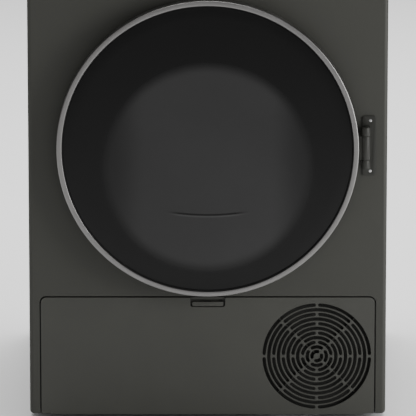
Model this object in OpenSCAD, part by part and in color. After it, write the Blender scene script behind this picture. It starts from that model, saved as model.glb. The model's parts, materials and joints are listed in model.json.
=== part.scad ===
// Free-standing heat-pump clothes dryer, 600 mm class.
// +Z is up, the front faces -Y, and the feet stand on z = 0.

/* [Cabinet] */
// Width of the cabinet
cab_w = 595; // [585:1:720]
// Depth from the front sheet to the rear panel
cab_d = 600; // [560:1:720]
// Height from the floor to the top of the worktop
cab_h = 850; // [848:1:1020]
// Thickness of the worktop
worktop_t = 22; // [16:1:30]
// Height of the control fascia
fascia_h = 95; // [84:1:97]
// Height of the cabinet's underside above the floor
foot_h = 12; // [11:1:20]
// Thickness of the sheet steel
sheet = 1.2; // [0.8:0.1:1.6]
// Radius of the front's vertical edges
edge_r = 7; // [4:1:10]
// How far the front wraps round each side
wrap_d = 25; // [20:1:30]
// How far the rear duct cover stands behind the rear panel
rear_proud = 15; // [12:1:20]

/* [Door] */
// Outer radius of the door's metal ring
door_r = 249.5; // [225:0.5:254]
// Visible width of the metal ring
ring_w = 8.5; // [5:0.5:10]
// How far the door stands in front of the cabinet
door_proud = 35; // [32:1:38]
// Height of the ring's lowest point above the kick panel
door_lift = 9.5; // [8:0.5:16]
// Radius of the loading mouth
mouth_r = 203; // [175:1:206]
// Radial gap between the glass bowl and the mouth
bowl_gap = 15; // [13:1:30]
// How far the glass bowl reaches into the mouth
bowl_depth = 55; // [45:1:58]
// Radius of the door's hinge pin
hinge_pin_r = 3; // [2.5:0.5:4]

/* [Kick panel] */
// Width of the kick panel
kick_w = 556.5; // [540:0.5:562]
// Height of the kick panel
kick_h = 200; // [196:1:240]
// Radius of its top corners
kick_corner_r = 9; // [5:1:14]
// Sideways place of the round grille's centre
grille_x = 180.5; // [150:0.5:185]
// Height of the grille's centre above the cabinet's underside
grille_up = 99; // [95:0.5:100]
// Number of rings of slots
grille_rings = 11; // [6:1:11]
// Radial pitch of the rings
slot_pitch = 8; // [6:0.05:8]
// Width of a slot
slot_w = 5.5; // [4:0.1:6]
// Width of the spokes between slots
spoke_w = 3.9; // [3:0.1:5]

/* [Drum] */
// Outer radius of the drum
drum_r = 282; // [235:1:286]
// Height of the drum's axis above the door's centre
drum_lift = 8; // [6:1:9]
// Height of the lifters inside the drum
lifter_h = 48; // [40:1:58]
// Radius of the drum's shaft
shaft_r = 10; // [8:1:14]

/* [Drive] */
// Radius of the rollers that carry the drum's front
roller_r = 24; // [20:1:28]
// Radius of the motor's body
motor_r = 52; // [42:1:54]
// Radius of the motor's belt pulley
pulley_r = 9; // [7:1:12]
// Radius of the process air fan
fan_r = 64; // [52:1:66]
// Radius of the cooling fan
cooler_r = 54; // [44:1:58]
// Radius of the compressor
compressor_r = 60; // [50:1:70]

/* [Water tank] */
// Width of the water tank
tank_w = 170; // [140:1:178]
// Height of the water tank
tank_h = 58; // [48:1:60]
// Length of the water tank
tank_l = 455; // [380:1:500]

/* [Controls] */
// Radius of the programme knob
knob_r = 27; // [22:1:30]
// How far the knob stands out
knob_proud = 18; // [12:1:24]
// Radius of the push buttons
button_r = 8; // [6:0.5:9]
// Travel of the push buttons
button_travel = 1.5; // [1:0.1:2.5]
// Width of the display window
display_w = 170; // [140:1:180]

/* [Clearances] */
// Visible seam round the kick panel
seam = 2; // [1:0.1:3]
// Seam round the small front pieces
fine_seam = 1.2; // [0.6:0.1:2]
// Gap between pieces that pass each other
clear = 0.5; // [0.3:0.1:1]
// Radial gap of a pin or shaft in its bore
pin_gap = 0.05; // [0.02:0.01:0.1]
// Wall of the moulded plastic pieces
wall = 2.5; // [2:0.1:3]

/* [Hidden] */
$fn = 96;

// Places across, front to back and up that several pieces share.
half_w = cab_w / 2;
total_d = door_proud + cab_d + rear_proud;
front_y = -total_d / 2 + door_proud;
rear_y = front_y + cab_d;
base_z = foot_h;
top_z = cab_h - worktop_t;
fascia_z = top_z - fascia_h;
inner_w = half_w - sheet;
rear_in_y = rear_y - 2 * sheet;

kick_top = base_z + kick_h;
door_z = kick_top + door_lift + door_r;
door_y = front_y - door_proud;
drum_z = door_z + drum_lift;

// Base moulding and feet
base_h = 32;
base_t = 3;
base_y = front_y + 30;
foot_pad_r = 18;
foot_pad_h = 8;
foot_stud_r = 5;
foot_stud_l = 28;
foot_stud_gap = 4;
foot_boss_r = 13;
foot_x = half_w - 45;
foot_front_y = front_y + 65;
foot_rear_y = rear_y - 45;
FEET = [["front_left", -foot_x, foot_front_y], ["front_right", foot_x, foot_front_y],
        ["rear_left", -foot_x, foot_rear_y], ["rear_right", foot_x, foot_rear_y]];
floor_z = base_z + base_t;

// Kick panel: hinged low down behind its face
kick_t = 3;
kick_rim = 15;
kick_lip = 1.5;
kick_lip_in = 16;
kick_axis_y = front_y + 12;
kick_axis_z = base_z + 12;
kick_barrel_r = 6;
kick_barrel_l = 20;
kick_hinge_x = kick_w / 2 - 40;
kick_pin_r = 3;
grille_z = base_z + grille_up;
latch_w = 52;
latch_h = 7.8;
latch_r = 2.5;
latch_z = kick_top - 11.2;
latch_t = 4;
latch_stem_w = 24;
latch_stem_h = 6;
latch_stem_l = 12;
pocket_side = 2.8;
pocket_top = 4.6;
pocket_r = 5;

// Door build-up, measured back from its front
ring_round = 2.5;
glass_set = 3;
glass_t = 4;
frame_y = door_y + glass_set + glass_t;
door_back_y = front_y - 3;
glass_r = door_r - ring_w - 1.7;
bowl_r = mouth_r - bowl_gap;
bowl_t = 4;
bowl_lip_w = 14;
bowl_floor_r = bowl_r - 34;
bowl_seat_y = door_back_y - 5;
grip_h = 92;
grip_in = 24;

// Door hinge, beside the ring on the right
hinge_x = door_r + 11.5;
hinge_y = front_y - 18;
knuckle_r = 7;
knuckle_h = 40;
hinge_cheek = 14;
hinge_half = knuckle_h / 2 + clear + hinge_cheek;
hook_x = -(mouth_r + 22);

// Front bulkhead: ring between the mouth and the drum's front lip
bulk_y = front_y + 45;
bulk_back_y = front_y + 100;
bulk_t = 2.5;
lip_r = drum_r - 20;
flange_r = lip_r - 4;
drum_wall = 1.2;
drum_front_y = bulk_back_y - 4;
drum_lip_y = front_y + 66;
drum_back_y = rear_y - 50;
roller_w = 12;
roller_angle = 30;
roller_pin_r = 5;
roller_gap = 0.3;
roller_at = lip_r + drum_wall + roller_gap + roller_r;
roller_y = drum_lip_y + 6;
roller_x = roller_at * sin(roller_angle);
roller_z = drum_z - roller_at * cos(roller_angle);

// Lint filter, in the bulkhead under the mouth
filter_w = 208;
filter_t = 26;
filter_y = front_y + 63;
filter_z = drum_z - flange_r + bulk_t + 6;
filter_round_r = flange_r - bulk_t - wall - clear - 1;

// Process air: exchangers at the left, fan at the rear
box_x0 = -285;
box_x1 = -90;
box_y0 = front_y + 50;
box_y1 = rear_y - 80;
box_z0 = floor_z + 30;
box_z1 = base_z + 180;
coil_gap = 6;
lever_l = 46;
lever_w = 12;
lever_t = 7;
post_r = 4;
lever_inset = 24;
lever_x = [box_x0 + lever_inset, box_x1 - lever_inset];
lever_z = (box_z0 + box_z1) / 2;

// Motor, its pulley and the fan on one axis
motor_x = 60;
motor_z = base_z + 88;
motor_l = 140;
motor_y0 = rear_y - 230;
motor_y1 = motor_y0 + motor_l;
motor_shaft_r = 7;
pulley_w = 14;
pulley_y = motor_y0 - 22;
belt_t = 2.2;
belt_w = 10;
belt_gap = 0.6;
scroll_y0 = rear_y - 74;
scroll_y1 = rear_y - 12;
scroll_r = fan_r + 12;
fan_l = 40;
riser_w = 84;
riser_top = base_z + 212;

// Compressor and its cooling fan, behind the grille
comp_y = front_y + 200;
comp_z = floor_z + 20;
comp_h = 175;
cooler_y = front_y + 36;
cooler_t = 26;
cooler_frame = 2 * cooler_r + 16;

// Refrigerant pipes from the compressor to the exchangers
pipe_r = 4;
pipe_stop = 1.6;
pipe_bend_r = 16;
pipe_drop = 40;
pipe_spread = 20;
pipe_y = [comp_y - pipe_spread, comp_y + pipe_spread];
pipe_z = [comp_z + 60, comp_z + 100];

// Rear opening and bearing
rear_hole_r = lip_r - 24;
rear_cover_r = rear_hole_r + 20;
bearing_r = 24;

// Control area
fascia_mid = fascia_z + fascia_h / 2;
tank_front_x0 = -half_w + 12;
tank_front_w = tank_w + 12;
tank_front_h = fascia_h - 14;
tank_x = tank_front_x0 + tank_front_w / 2;
tank_z = top_z - 13 - tank_h;
tank_y = front_y + 20;
sleeve_gap = 1.5;
sleeve_t = 2;
sleeve_wall_h = 40;
knob_x = -30;
power_x = -76;
display_x = 125;
display_h = 46;
start_x = 250;
board_y = front_y + 15;
board_t = 1.6;
button_proud = button_travel + clear;
button_flange = 2;

// ---- Shared shapes ----

// Box between two corners.
module block(x0, x1, y0, y1, z0, z1)
    translate([x0, y0, z0]) cube([x1 - x0, y1 - y0, z1 - z0]);

// Rod along Y between two depths.
module rod_y(y0, y1, r) translate([0, y0, 0]) rotate([-90, 0, 0]) cylinder(h = y1 - y0, r = r);

// Tube along Y between two depths.
module tube_y(y0, y1, outer, inner)
    difference() {
        rod_y(y0, y1, outer);
        rod_y(y0 - 1, y1 + 1, inner);
    }

// Outline of radius and depth pairs, turned about the Y axis.
module turned_y(points) rotate([-90, 0, 0]) rotate_extrude() polygon(points);

// Upright outline of X and Z, given a depth along Y.
module slab_y(y0, y1) translate([0, y1, 0]) rotate([90, 0, 0]) linear_extrude(y1 - y0) children();

// Upright outline of Y and Z, given a thickness along X.
module slab_x(x0, x1)
    translate([x0, 0, 0]) rotate([90, 0, 90]) linear_extrude(x1 - x0) children();

// Rectangle with round corners between two corners.
module round_rect(x0, x1, z0, z1, r) {
    translate([x0 + r, z0]) square([x1 - x0 - 2 * r, z1 - z0]);
    translate([x0, z0 + r]) square([x1 - x0, z1 - z0 - 2 * r]);
    for (x = [x0 + r, x1 - r], z = [z0 + r, z1 - r]) translate([x, z]) circle(r);
}

// Plan of a front piece that wraps round both sides.
module wrap_plan(t) {
    difference() {
        union() {
            round_rect(-half_w, half_w, front_y, front_y + wrap_d, edge_r);
            translate([-half_w, front_y + wrap_d / 2]) square([cab_w, wrap_d / 2]);
        }
        union() {
            round_rect(-half_w + t, half_w - t, front_y + t, front_y + wrap_d, edge_r - t);
            translate([-half_w + t, front_y + wrap_d / 2]) square([cab_w - 2 * t, wrap_d]);
        }
    }
}

// Copies placed evenly round the Y axis.
module around_y(n, start = 0) for (i = [0 : n - 1]) rotate([0, start + i * 360 / n, 0]) children();

// ---- Cabinet ----

// Moulded tray that carries the machinery and takes the feet.
module base_tray() color("dimgray") {
    difference() {
        union() {
            difference() {
                block(-inner_w, inner_w, base_y, rear_y, base_z, base_z + base_h);
                block(-inner_w + base_t, inner_w - base_t, base_y + base_t, rear_y - base_t,
                      floor_z, base_z + base_h + 1);
            }
            for (f = FEET) translate([f[1], f[2], base_z])
                cylinder(h = foot_stud_l + base_t, r = foot_boss_r);
            motor_cradle();
            scroll_pad();
            exchanger_rails();
            for (s = [-1, 1]) kick_hinge_arms(s * kick_hinge_x);
        }
        for (f = FEET) translate([f[1], f[2], base_z - 1])
            cylinder(h = foot_stud_l + 1, r = foot_stud_r + pin_gap);
    }
}

// Saddles that the motor lies in.
module motor_cradle()
    for (y = [motor_y0 + 20, motor_y1 - 35]) difference() {
        block(motor_x - motor_r * 0.7, motor_x + motor_r * 0.7, y, y + 15, floor_z - 1,
              motor_z - motor_r * 0.6);
        translate([motor_x, 0, motor_z]) rod_y(y - 1, y + 16, motor_r);
    }

// Saddle under the fan's scroll.
module scroll_pad() difference() {
    block(motor_x - 30, motor_x + 30, scroll_y0 + 10, scroll_y1 - 10, floor_z - 1,
          motor_z - scroll_r + 8);
    translate([motor_x, 0, motor_z]) rod_y(scroll_y0, scroll_y1, scroll_r);
}

// Rails that the exchanger housing stands on.
module exchanger_rails()
    for (x = [box_x0 + 20, box_x1 - 32])
        block(x, x + 12, box_y0 + 20, box_y1 - 20, floor_z - 1, box_z0);

// Two cheeks with a pin between them for the kick panel's barrel.
module kick_hinge_arms(x) {
    half = kick_barrel_l / 2 + clear;
    for (s = [-1, 1]) translate([x + s * (half + wall), kick_axis_y, kick_axis_z])
        slab_x(-wall, wall) {
            circle(kick_barrel_r);
            translate([0, -kick_barrel_r]) square([base_y - kick_axis_y + 1, 2 * kick_barrel_r]);
        }
    translate([x - half - 1, kick_axis_y, kick_axis_z]) rotate([0, 90, 0])
        cylinder(h = 2 * half + 2, r = kick_pin_r);
}

// Side sheet with a pressed field, and flanges at the front and rear.
module side_panel(s) color("dimgray") {
    y0 = front_y + wrap_d + clear;
    flange = 15;
    press = 3;
    margin = 75;
    x_out = s > 0 ? inner_w : -half_w;
    x_press = s > 0 ? inner_w - press : -half_w + press;
    difference() {
        union() {
            slab_x(x_out, x_out + sheet) translate([y0, base_z])
                square([rear_y - y0, top_z - base_z]);
            slab_x(min(x_press, x_out), max(x_press, x_out) + sheet)
                round_rect(y0 + margin, rear_y - margin, base_z + margin, top_z - margin, 40);
        }
        slab_x(s > 0 ? x_press + sheet : -half_w - 1, s > 0 ? half_w + 1 : x_press)
            round_rect(y0 + margin + 3, rear_y - margin - 3, base_z + margin + 3,
                       top_z - margin - 3, 37);
    }
    block(s > 0 ? inner_w - flange : -inner_w, s > 0 ? inner_w : -inner_w + flange,
          y0, y0 + sheet, base_z + base_h, top_z);
    block(s > 0 ? inner_w - flange : -inner_w, s > 0 ? inner_w : -inner_w + flange,
          rear_y - sheet, rear_y, base_z + base_h, top_z);
}

// Rear sheet with the air opening, its collar and cooling slots.
module rear_panel() color("silver") {
    z0 = base_z + base_h + 1;
    vent_x = [half_w - 167, half_w - 122, half_w - 77];
    vent_w = 35;
    vent_h = 5;
    vent_pitch = 11;
    difference() {
        block(-inner_w, inner_w, rear_in_y, rear_y - sheet, z0, top_z);
        translate([0, 0, drum_z]) rod_y(rear_in_y - 1, rear_y, rear_hole_r);
        block(motor_x - riser_w / 2, motor_x + riser_w / 2, rear_in_y - 1, rear_y,
              base_z + 95, drum_z - rear_hole_r + 20);
        for (x = vent_x, i = [0 : 9])
            block(x, x + vent_w, rear_in_y - 1, rear_y, z0 + 20 + i * vent_pitch,
                  z0 + 20 + vent_h + i * vent_pitch);
    }
    translate([0, 0, drum_z])
        tube_y(drum_back_y + 6, rear_in_y, rear_hole_r + 2, rear_hole_r);
}

// Pressed cover that leads the hot air from the fan up to the drum's back.
module rear_duct_cover() color("gainsboro") {
    duct = riser_w / 2 + 12;
    duct_z0 = base_z + 80;
    duct_z1 = drum_z - rear_hole_r + 30;
    flange_y = rear_y + 1.5;
    difference() {
        union() {
            translate([0, 0, drum_z]) {
                rod_y(rear_y, flange_y, rear_cover_r);
                turned_y([[0, rear_y], [rear_cover_r - 12, rear_y],
                          [rear_cover_r - 22, rear_y + rear_proud], [0, rear_y + rear_proud]]);
            }
            block(motor_x - duct, motor_x + duct, rear_y, rear_y + rear_proud, duct_z0, duct_z1);
            block(motor_x - duct - 12, motor_x + duct + 12, rear_y, flange_y,
                  duct_z0 - 12, duct_z1);
        }
        translate([0, 0, drum_z])
            turned_y([[0, rear_y - 1], [rear_cover_r - 15, rear_y - 1],
                      [rear_cover_r - 24.5, rear_y + rear_proud - wall],
                      [0, rear_y + rear_proud - wall]]);
        block(motor_x - duct + wall, motor_x + duct - wall, rear_y - 1,
              rear_y + rear_proud - wall, duct_z0 + wall, duct_z1 + 1);
    }
    translate([0, 0, drum_z]) around_y(8) slab_y(rear_y + rear_proud - wall - 4,
        rear_y + rear_proud - wall) translate([60, -1.5]) square([150, 3]);
}

// Board that closes the cabinet.
module worktop() color("dimgray")
    translate([0, 0, top_z]) linear_extrude(worktop_t)
        round_rect(-half_w, half_w, front_y, rear_y, edge_r);

// Front sheet with the loading mouth and the opening for the kick panel.
module front_panel() color([0.29, 0.29, 0.27]) {
    corner = 6;
    kick_half = kick_w / 2 + seam;
    difference() {
        intersection() {
            translate([0, 0, base_z]) linear_extrude(fascia_z - fine_seam - base_z)
                wrap_plan(sheet);
            slab_y(front_y - 1, front_y + wrap_d + 1)
                round_rect(-half_w, half_w, base_z, top_z, corner);
        }
        slab_y(front_y - 1, front_y + edge_r + 1)
            round_rect(-kick_half, kick_half, base_z - 50, kick_top + seam, kick_corner_r + seam);
        translate([0, 0, door_z]) rod_y(front_y - 1, front_y + sheet + 1, mouth_r);
        block(hook_x - 6, hook_x + 6, front_y - 1, front_y + sheet + 1,
              door_z - 14, door_z + 14);
        for (z = [door_z - hinge_half - 8, door_z + hinge_half + 8])
            translate([hinge_x + 8, 0, z]) rod_y(front_y - 1, front_y + sheet + 1, 2.6);
    }
}

// Upper moulding for the drawer, knob, display and buttons.
module control_fascia() color([0.27, 0.27, 0.26]) difference() {
    union() {
        translate([0, 0, fascia_z]) linear_extrude(fascia_h) wrap_plan(wall);
        intersection() {
            translate([0, 0, fascia_z]) linear_extrude(wall)
                round_rect(-half_w, half_w, front_y, front_y + 2 * wrap_d, edge_r);
            block(tank_x + tank_front_w / 2 + 6, half_w, front_y, front_y + wrap_d - 12,
                  fascia_z, top_z);
        }
    }
    slab_y(front_y - 1, front_y + wall + 1)
        round_rect(tank_front_x0 - fine_seam, tank_front_x0 + tank_front_w + fine_seam,
                   fascia_mid - tank_front_h / 2 - fine_seam,
                   fascia_mid + tank_front_h / 2 + fine_seam, 4 + fine_seam);
    slab_y(front_y - 1, front_y + wall + 1)
        round_rect(display_x - display_w / 2, display_x + display_w / 2,
                   fascia_mid - display_h / 2, fascia_mid + display_h / 2, 5);
    translate([knob_x, 0, fascia_mid]) rod_y(front_y - 1, front_y + wall + 1, 6);
    for (x = [power_x, start_x])
        translate([x, 0, fascia_mid]) rod_y(front_y - 1, front_y + wall + 1, button_r + clear);
}

// Smoked window with the display and its touch fields behind it.
module display_window() color([0.05, 0.05, 0.06])
    slab_y(front_y, front_y + 3)
        round_rect(display_x - display_w / 2, display_x + display_w / 2,
                   fascia_mid - display_h / 2, fascia_mid + display_h / 2, 5);

// Circuit board with the knob's encoder, the switches and larger components.
module control_board() color("darkgreen") {
    x0 = power_x - 18;
    x1 = start_x + 18;
    difference() {
        union() {
            block(x0, x1, board_y, board_y + board_t, fascia_mid - 34, fascia_mid + 34);
            translate([knob_x, 0, fascia_mid]) rod_y(front_y + 5, board_y + 1, 9);
            for (x = [power_x, start_x])
                translate([x, 0, fascia_mid]) rod_y(front_y + 12, board_y + 1, 4);
            block(display_x - 70, display_x + 70, front_y + 6, board_y + 1,
                  fascia_mid - 18, fascia_mid + 18);
        }
        translate([knob_x, 0, fascia_mid]) rod_y(front_y, board_y + 5, 3 + pin_gap);
    }
    for (x = [30 : 40 : 190]) translate([x, 0, fascia_mid - 22])
        rod_y(board_y + board_t, board_y + 14, 7);
}

// Moulded front wall of the drum: mouth, drum lip support and filter pocket.
module bulkhead() color("gray") difference() {
    union() {
        slab_y(bulk_y, bulk_y + bulk_t) difference() {
            round_rect(-inner_w + 24, inner_w - 24, kick_top + 6, fascia_z - 6, 30);
            translate([0, drum_z]) circle(flange_r - bulk_t);
        }
        translate([0, 0, drum_z]) tube_y(bulk_y, bulk_back_y, flange_r, flange_r - bulk_t);
        slab_y(bulk_back_y - bulk_t, bulk_back_y) difference() {
            translate([0, drum_z]) circle(flange_r - 1);
            translate([0, door_z]) circle(mouth_r);
        }
        translate([0, 0, door_z])
            tube_y(front_y + sheet, bulk_back_y, mouth_r + bulk_t, mouth_r);
        filter_pocket();
        for (s = [-1, 1]) translate([s * roller_x, 0, roller_z]) {
            rod_y(bulk_y + 1, roller_y - clear, 9);
            rod_y(bulk_y, roller_y + roller_w + 3, roller_pin_r);
        }
    }
    block(-filter_w / 2 - clear, filter_w / 2 + clear, filter_y - clear,
          filter_y + filter_t + clear, filter_z - clear, door_z - mouth_r / 2);
    translate([0, 0, door_z]) rod_y(front_y, bulk_back_y + 1, mouth_r);
    for (i = [-4 : 4])
        block(i * 22 - 8, i * 22 + 8, bulk_back_y - 10, bulk_back_y + 1,
              filter_z + 10, filter_z + 22);
}

// Walls of the pocket that the lint filter drops into.
module filter_pocket() intersection() {
    difference() {
        block(-filter_w / 2 - wall, filter_w / 2 + wall, filter_y - wall,
              bulk_back_y - 1, filter_z - wall, door_z - mouth_r / 2);
        block(-filter_w / 2 + 12, filter_w / 2 - 12, filter_y - wall - 1,
              filter_y + filter_t, filter_z + 8, filter_z + 24);
    }
    translate([0, 0, drum_z]) rod_y(front_y, rear_y, flange_r - 1);
}

// Rubber lip round the loading mouth.
module door_seal() color([0.08, 0.08, 0.08])
    translate([0, 0, door_z]) turned_y([[mouth_r, front_y], [mouth_r + 13, front_y],
        [mouth_r + 11, front_y - 2.4], [mouth_r + 3, front_y - 2.4]]);

// Felt rings that the drum's front lip and rear wall run against.
module felt_seals() color("tan") translate([0, 0, drum_z]) {
    tube_y(drum_lip_y + 3, drum_front_y - 2, lip_r - 0.4, flange_r);
    tube_y(drum_back_y + 0.4, drum_back_y + 6, rear_hole_r + 8, rear_hole_r - 6);
}

// Cross bar with the bush that carries the drum's shaft.
module rear_bearing() color("slategray") {
    bar_y = rear_in_y - 4;
    difference() {
        union() {
            translate([0, 0, drum_z]) intersection() {
                for (a = [0 : 60 : 120]) rotate([0, a, 0]) slab_y(bar_y, rear_in_y)
                    translate([-rear_hole_r, -13]) square([2 * rear_hole_r, 26]);
                rod_y(bar_y - 1, rear_y, rear_hole_r);
            }
            translate([0, 0, drum_z]) rod_y(drum_back_y + 14, rear_in_y + 6, bearing_r);
        }
        translate([0, 0, drum_z]) rod_y(drum_back_y, rear_y + rear_proud, shaft_r + pin_gap);
    }
}

// ---- Heat pump ----

// Housing for the two exchangers, open at the front and to the fan.
module exchanger_housing() color("gray") difference() {
    block(box_x0, box_x1, box_y0, box_y1, box_z0, box_z1);
    block(box_x0 + wall, box_x1 - wall, box_y0 - 1, box_y1 - wall,
          box_z0 + wall, box_z1 - wall);
    block(box_x1 - 90, box_x1 - 12, box_y1 - 10, box_y1 + 1, box_z0 + 30, box_z1 - 30);
    for (i = [0, 1]) translate([box_x1 - 10, pipe_y[i], pipe_z[i]]) rotate([0, 90, 0])
        cylinder(h = 20, r = pipe_r + clear);
}

// Inner cover that closes the exchanger housing, with a post for each lever.
module exchanger_cover() color("darkgray") {
    grow = 6;
    slab_y(box_y0 - wall, box_y0)
        round_rect(box_x0 - grow, box_x1 + grow, box_z0 - grow, box_z1 + grow, 8);
    block(box_x0 + wall + 1, box_x1 - wall - 1, box_y0 - 1, box_y0 + 8,
          box_z0 + wall + 1, box_z1 - wall - 1);
    for (x = lever_x) translate([x, 0, lever_z])
        rod_y(box_y0 - wall - lever_t - 3, box_y0, post_r);
    slab_y(box_y0 - wall - 8, box_y0 - wall)
        translate([(box_x0 + box_x1) / 2 - 30, box_z1 - 52]) square([60, 5]);
}

// Turning catch on the inner cover.
module lever(x) color("seagreen") translate([x, 0, lever_z])
    difference() {
        y1 = box_y0 - wall - 0.5;
        union() {
            rod_y(y1 - lever_t, y1, lever_w / 2 + 3);
            slab_y(y1 - lever_t, y1) round_rect(-lever_w / 2, lever_w / 2, -lever_w / 2,
                                                lever_l, lever_w / 2 - 1);
        }
        rod_y(y1 - lever_t - 1, y1 + 1, post_r + pin_gap);
    }

// Evaporator in front and condenser behind: fins threaded on tubes.
module heat_exchangers() color("silver") {
    y0 = box_y0 + 30;
    split = 0.42;
    length = box_y1 - 70 - y0;
    coil(y0, y0 + length * split);
    coil(y0 + length * split + 12, y0 + length);
}

// One block of fins with two end plates and four tubes.
module coil(y0, y1) {
    fins = 11;
    x0 = box_x0 + wall + coil_gap;
    x1 = box_x1 - wall - coil_gap;
    z0 = box_z0 + wall;
    z1 = box_z1 - wall - coil_gap;
    step = (x1 - x0 - 1.5) / (fins - 1);
    for (i = [0 : fins - 1]) block(x0 + i * step, x0 + i * step + 1.5, y0, y1, z0, z1);
    for (f = [0.25, 0.75], g = [0.3, 0.7])
        translate([x0, y0 + f * (y1 - y0), z0 + g * (z1 - z0)]) rotate([0, 90, 0])
            cylinder(h = x1 - x0, r = 5);
}

// Welded compressor can with its terminal cover and three feet.
module compressor() color([0.12, 0.12, 0.12]) translate([grille_x, comp_y, comp_z]) {
    dome = 18;
    rotate_extrude() polygon(concat([[0, 0]],
        [for (a = [0 : 15 : 90]) [compressor_r - dome + dome * sin(a), dome - dome * cos(a)]],
        [for (a = [0 : 15 : 90]) [compressor_r - dome + dome * cos(a),
                                  comp_h - dome + dome * sin(a)]],
        [[0, comp_h]]));
    translate([compressor_r - 6, -20, comp_h / 2]) cube([24, 40, 50]);
    difference() {
        for (a = [60, 180, 300]) rotate([0, 0, a]) translate([0, -15, 0])
            cube([compressor_r + 14, 30, 4]);
        for (a = [60, 180, 300]) rotate([0, 0, a]) translate([compressor_r + 2, 0, -1])
            cylinder(h = 6, r = 5);
    }
}

// Rubber feet between the compressor and the base.
module compressor_grommets() color([0.1, 0.1, 0.1])
    for (a = [60, 180, 300]) translate([grille_x, comp_y, floor_z]) rotate([0, 0, a])
        translate([compressor_r + 2, 0, 0]) difference() {
            union() {
                cylinder(h = comp_z - floor_z, r = 9);
                cylinder(h = comp_z - floor_z + 8, r = 5);
            }
            translate([0, 0, -1]) cylinder(h = comp_z - floor_z + 20, r = 2.5);
        }

// Copper lines from the compressor's wall to the exchangers.
module refrigerant_pipes() color("chocolate") for (i = [0, 1]) translate([0, pipe_y[i], pipe_z[i]]) {
    x0 = box_x1 - coil_gap - wall + 1;
    x1 = grille_x - sqrt(compressor_r * compressor_r - pipe_spread * pipe_spread) - pipe_stop;
    mid = box_x1 + 60;
    translate([mid + pipe_bend_r, 0, pipe_drop]) rotate([0, 90, 0])
        cylinder(h = x1 - mid - pipe_bend_r, r = pipe_r);
    translate([mid + pipe_bend_r, 0, pipe_drop - pipe_bend_r]) quarter_bend(90);
    translate([mid, 0, pipe_bend_r]) cylinder(h = pipe_drop - 2 * pipe_bend_r, r = pipe_r);
    translate([mid - pipe_bend_r, 0, pipe_bend_r]) quarter_bend(-90);
    translate([x0, 0, 0]) rotate([0, 90, 0]) cylinder(h = mid - pipe_bend_r - x0, r = pipe_r);
}

// Quarter turn of pipe in the X-Z plane.
module quarter_bend(a) rotate([90, 0, 0]) rotate([0, 0, a])
    rotate_extrude(angle = 90) translate([pipe_bend_r, 0]) circle(pipe_r);

// ---- Drive and air ----

// Motor can with end bells, open at both ends for the rotor.
module motor_body() color("slategray") translate([motor_x, 0, motor_z]) difference() {
    union() {
        rod_y(motor_y0 + 15, motor_y1 - 15, motor_r);
        rod_y(motor_y0, motor_y1, motor_r * 0.55);
    }
    rod_y(motor_y0 - 1, motor_y1 + 1, motor_shaft_r + pin_gap);
    around_y(12) block(motor_r - 3, motor_r + 1, motor_y0 + 25, motor_y1 - 25, -3, 3);
}

// Rotor shaft with the grooved belt pulley at the front.
module motor_rotor() color("silver") translate([motor_x, 0, motor_z]) {
    rod_y(pulley_y - 2, scroll_y1 - 12, motor_shaft_r);
    turned_y([[0, pulley_y], [pulley_r + 3, pulley_y], [pulley_r + 3, pulley_y + 1.5],
              [pulley_r, pulley_y + 2], [pulley_r, pulley_y + pulley_w - 2],
              [pulley_r + 3, pulley_y + pulley_w - 1.5], [pulley_r + 3, pulley_y + pulley_w],
              [0, pulley_y + pulley_w]]);
}

// Blower wheel: back plate, hub and blades.
module process_fan() color("white") translate([motor_x, 0, motor_z]) difference() {
    y1 = scroll_y1 - 8;
    union() {
        rod_y(y1 - 3, y1, fan_r);
        rod_y(y1 - fan_l, y1, 14);
        around_y(18) rotate([0, 8, 0])
            block(fan_r - 20, fan_r - 1, y1 - fan_l, y1 - 1, -1, 1);
        tube_y(y1 - fan_l, y1 - fan_l + 3, fan_r, fan_r - 6);
    }
    rod_y(y1 - fan_l - 1, y1 + 1, motor_shaft_r);
}

// Scroll round the fan, with the riser to the rear and the inlet duct at the left.
module fan_housing() color("gray") difference() {
    duct_x = box_x1 - 96;
    union() {
        translate([motor_x, 0, motor_z]) rod_y(scroll_y0, scroll_y1, scroll_r);
        block(motor_x - riser_w / 2, motor_x + riser_w / 2, drum_back_y + 10, rear_in_y,
              motor_z, riser_top);
        block(duct_x, motor_x, scroll_y0 - 6, scroll_y1, motor_z - 52, motor_z + 52);
    }
    translate([motor_x, 0, motor_z])
        rod_y(scroll_y0 + wall, scroll_y1 - wall, scroll_r - wall);
    translate([motor_x, 0, motor_z]) rod_y(scroll_y0 - 10, scroll_y1, motor_shaft_r + 4);
    block(motor_x - riser_w / 2 + wall, motor_x + riser_w / 2 - wall,
          drum_back_y + 10 + wall, rear_in_y + 1, motor_z, riser_top - wall);
    block(duct_x + wall, motor_x - 20, scroll_y0 - 6 + wall, scroll_y1 - wall,
          motor_z - 52 + wall, motor_z + 52 - wall);
    block(duct_x + wall + 6, box_x1 - 14, scroll_y0 - 10, scroll_y1 - 20,
          motor_z - 40, motor_z + 40);
}

// Ribbed belt round the drum and the motor's pulley.
module drive_belt() color([0.1, 0.1, 0.1]) {
    y0 = pulley_y + (pulley_w - belt_w) / 2;
    slab_y(y0, y0 + belt_w) difference() {
        belt_loop(belt_gap + belt_t);
        belt_loop(belt_gap);
    }
}

// Filled outline of the belt, grown outwards from the two pulleys.
module belt_loop(grow) hull() {
    translate([0, drum_z]) circle(drum_r + grow, $fn = 240);
    translate([motor_x, motor_z]) circle(pulley_r + grow);
}

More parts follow.
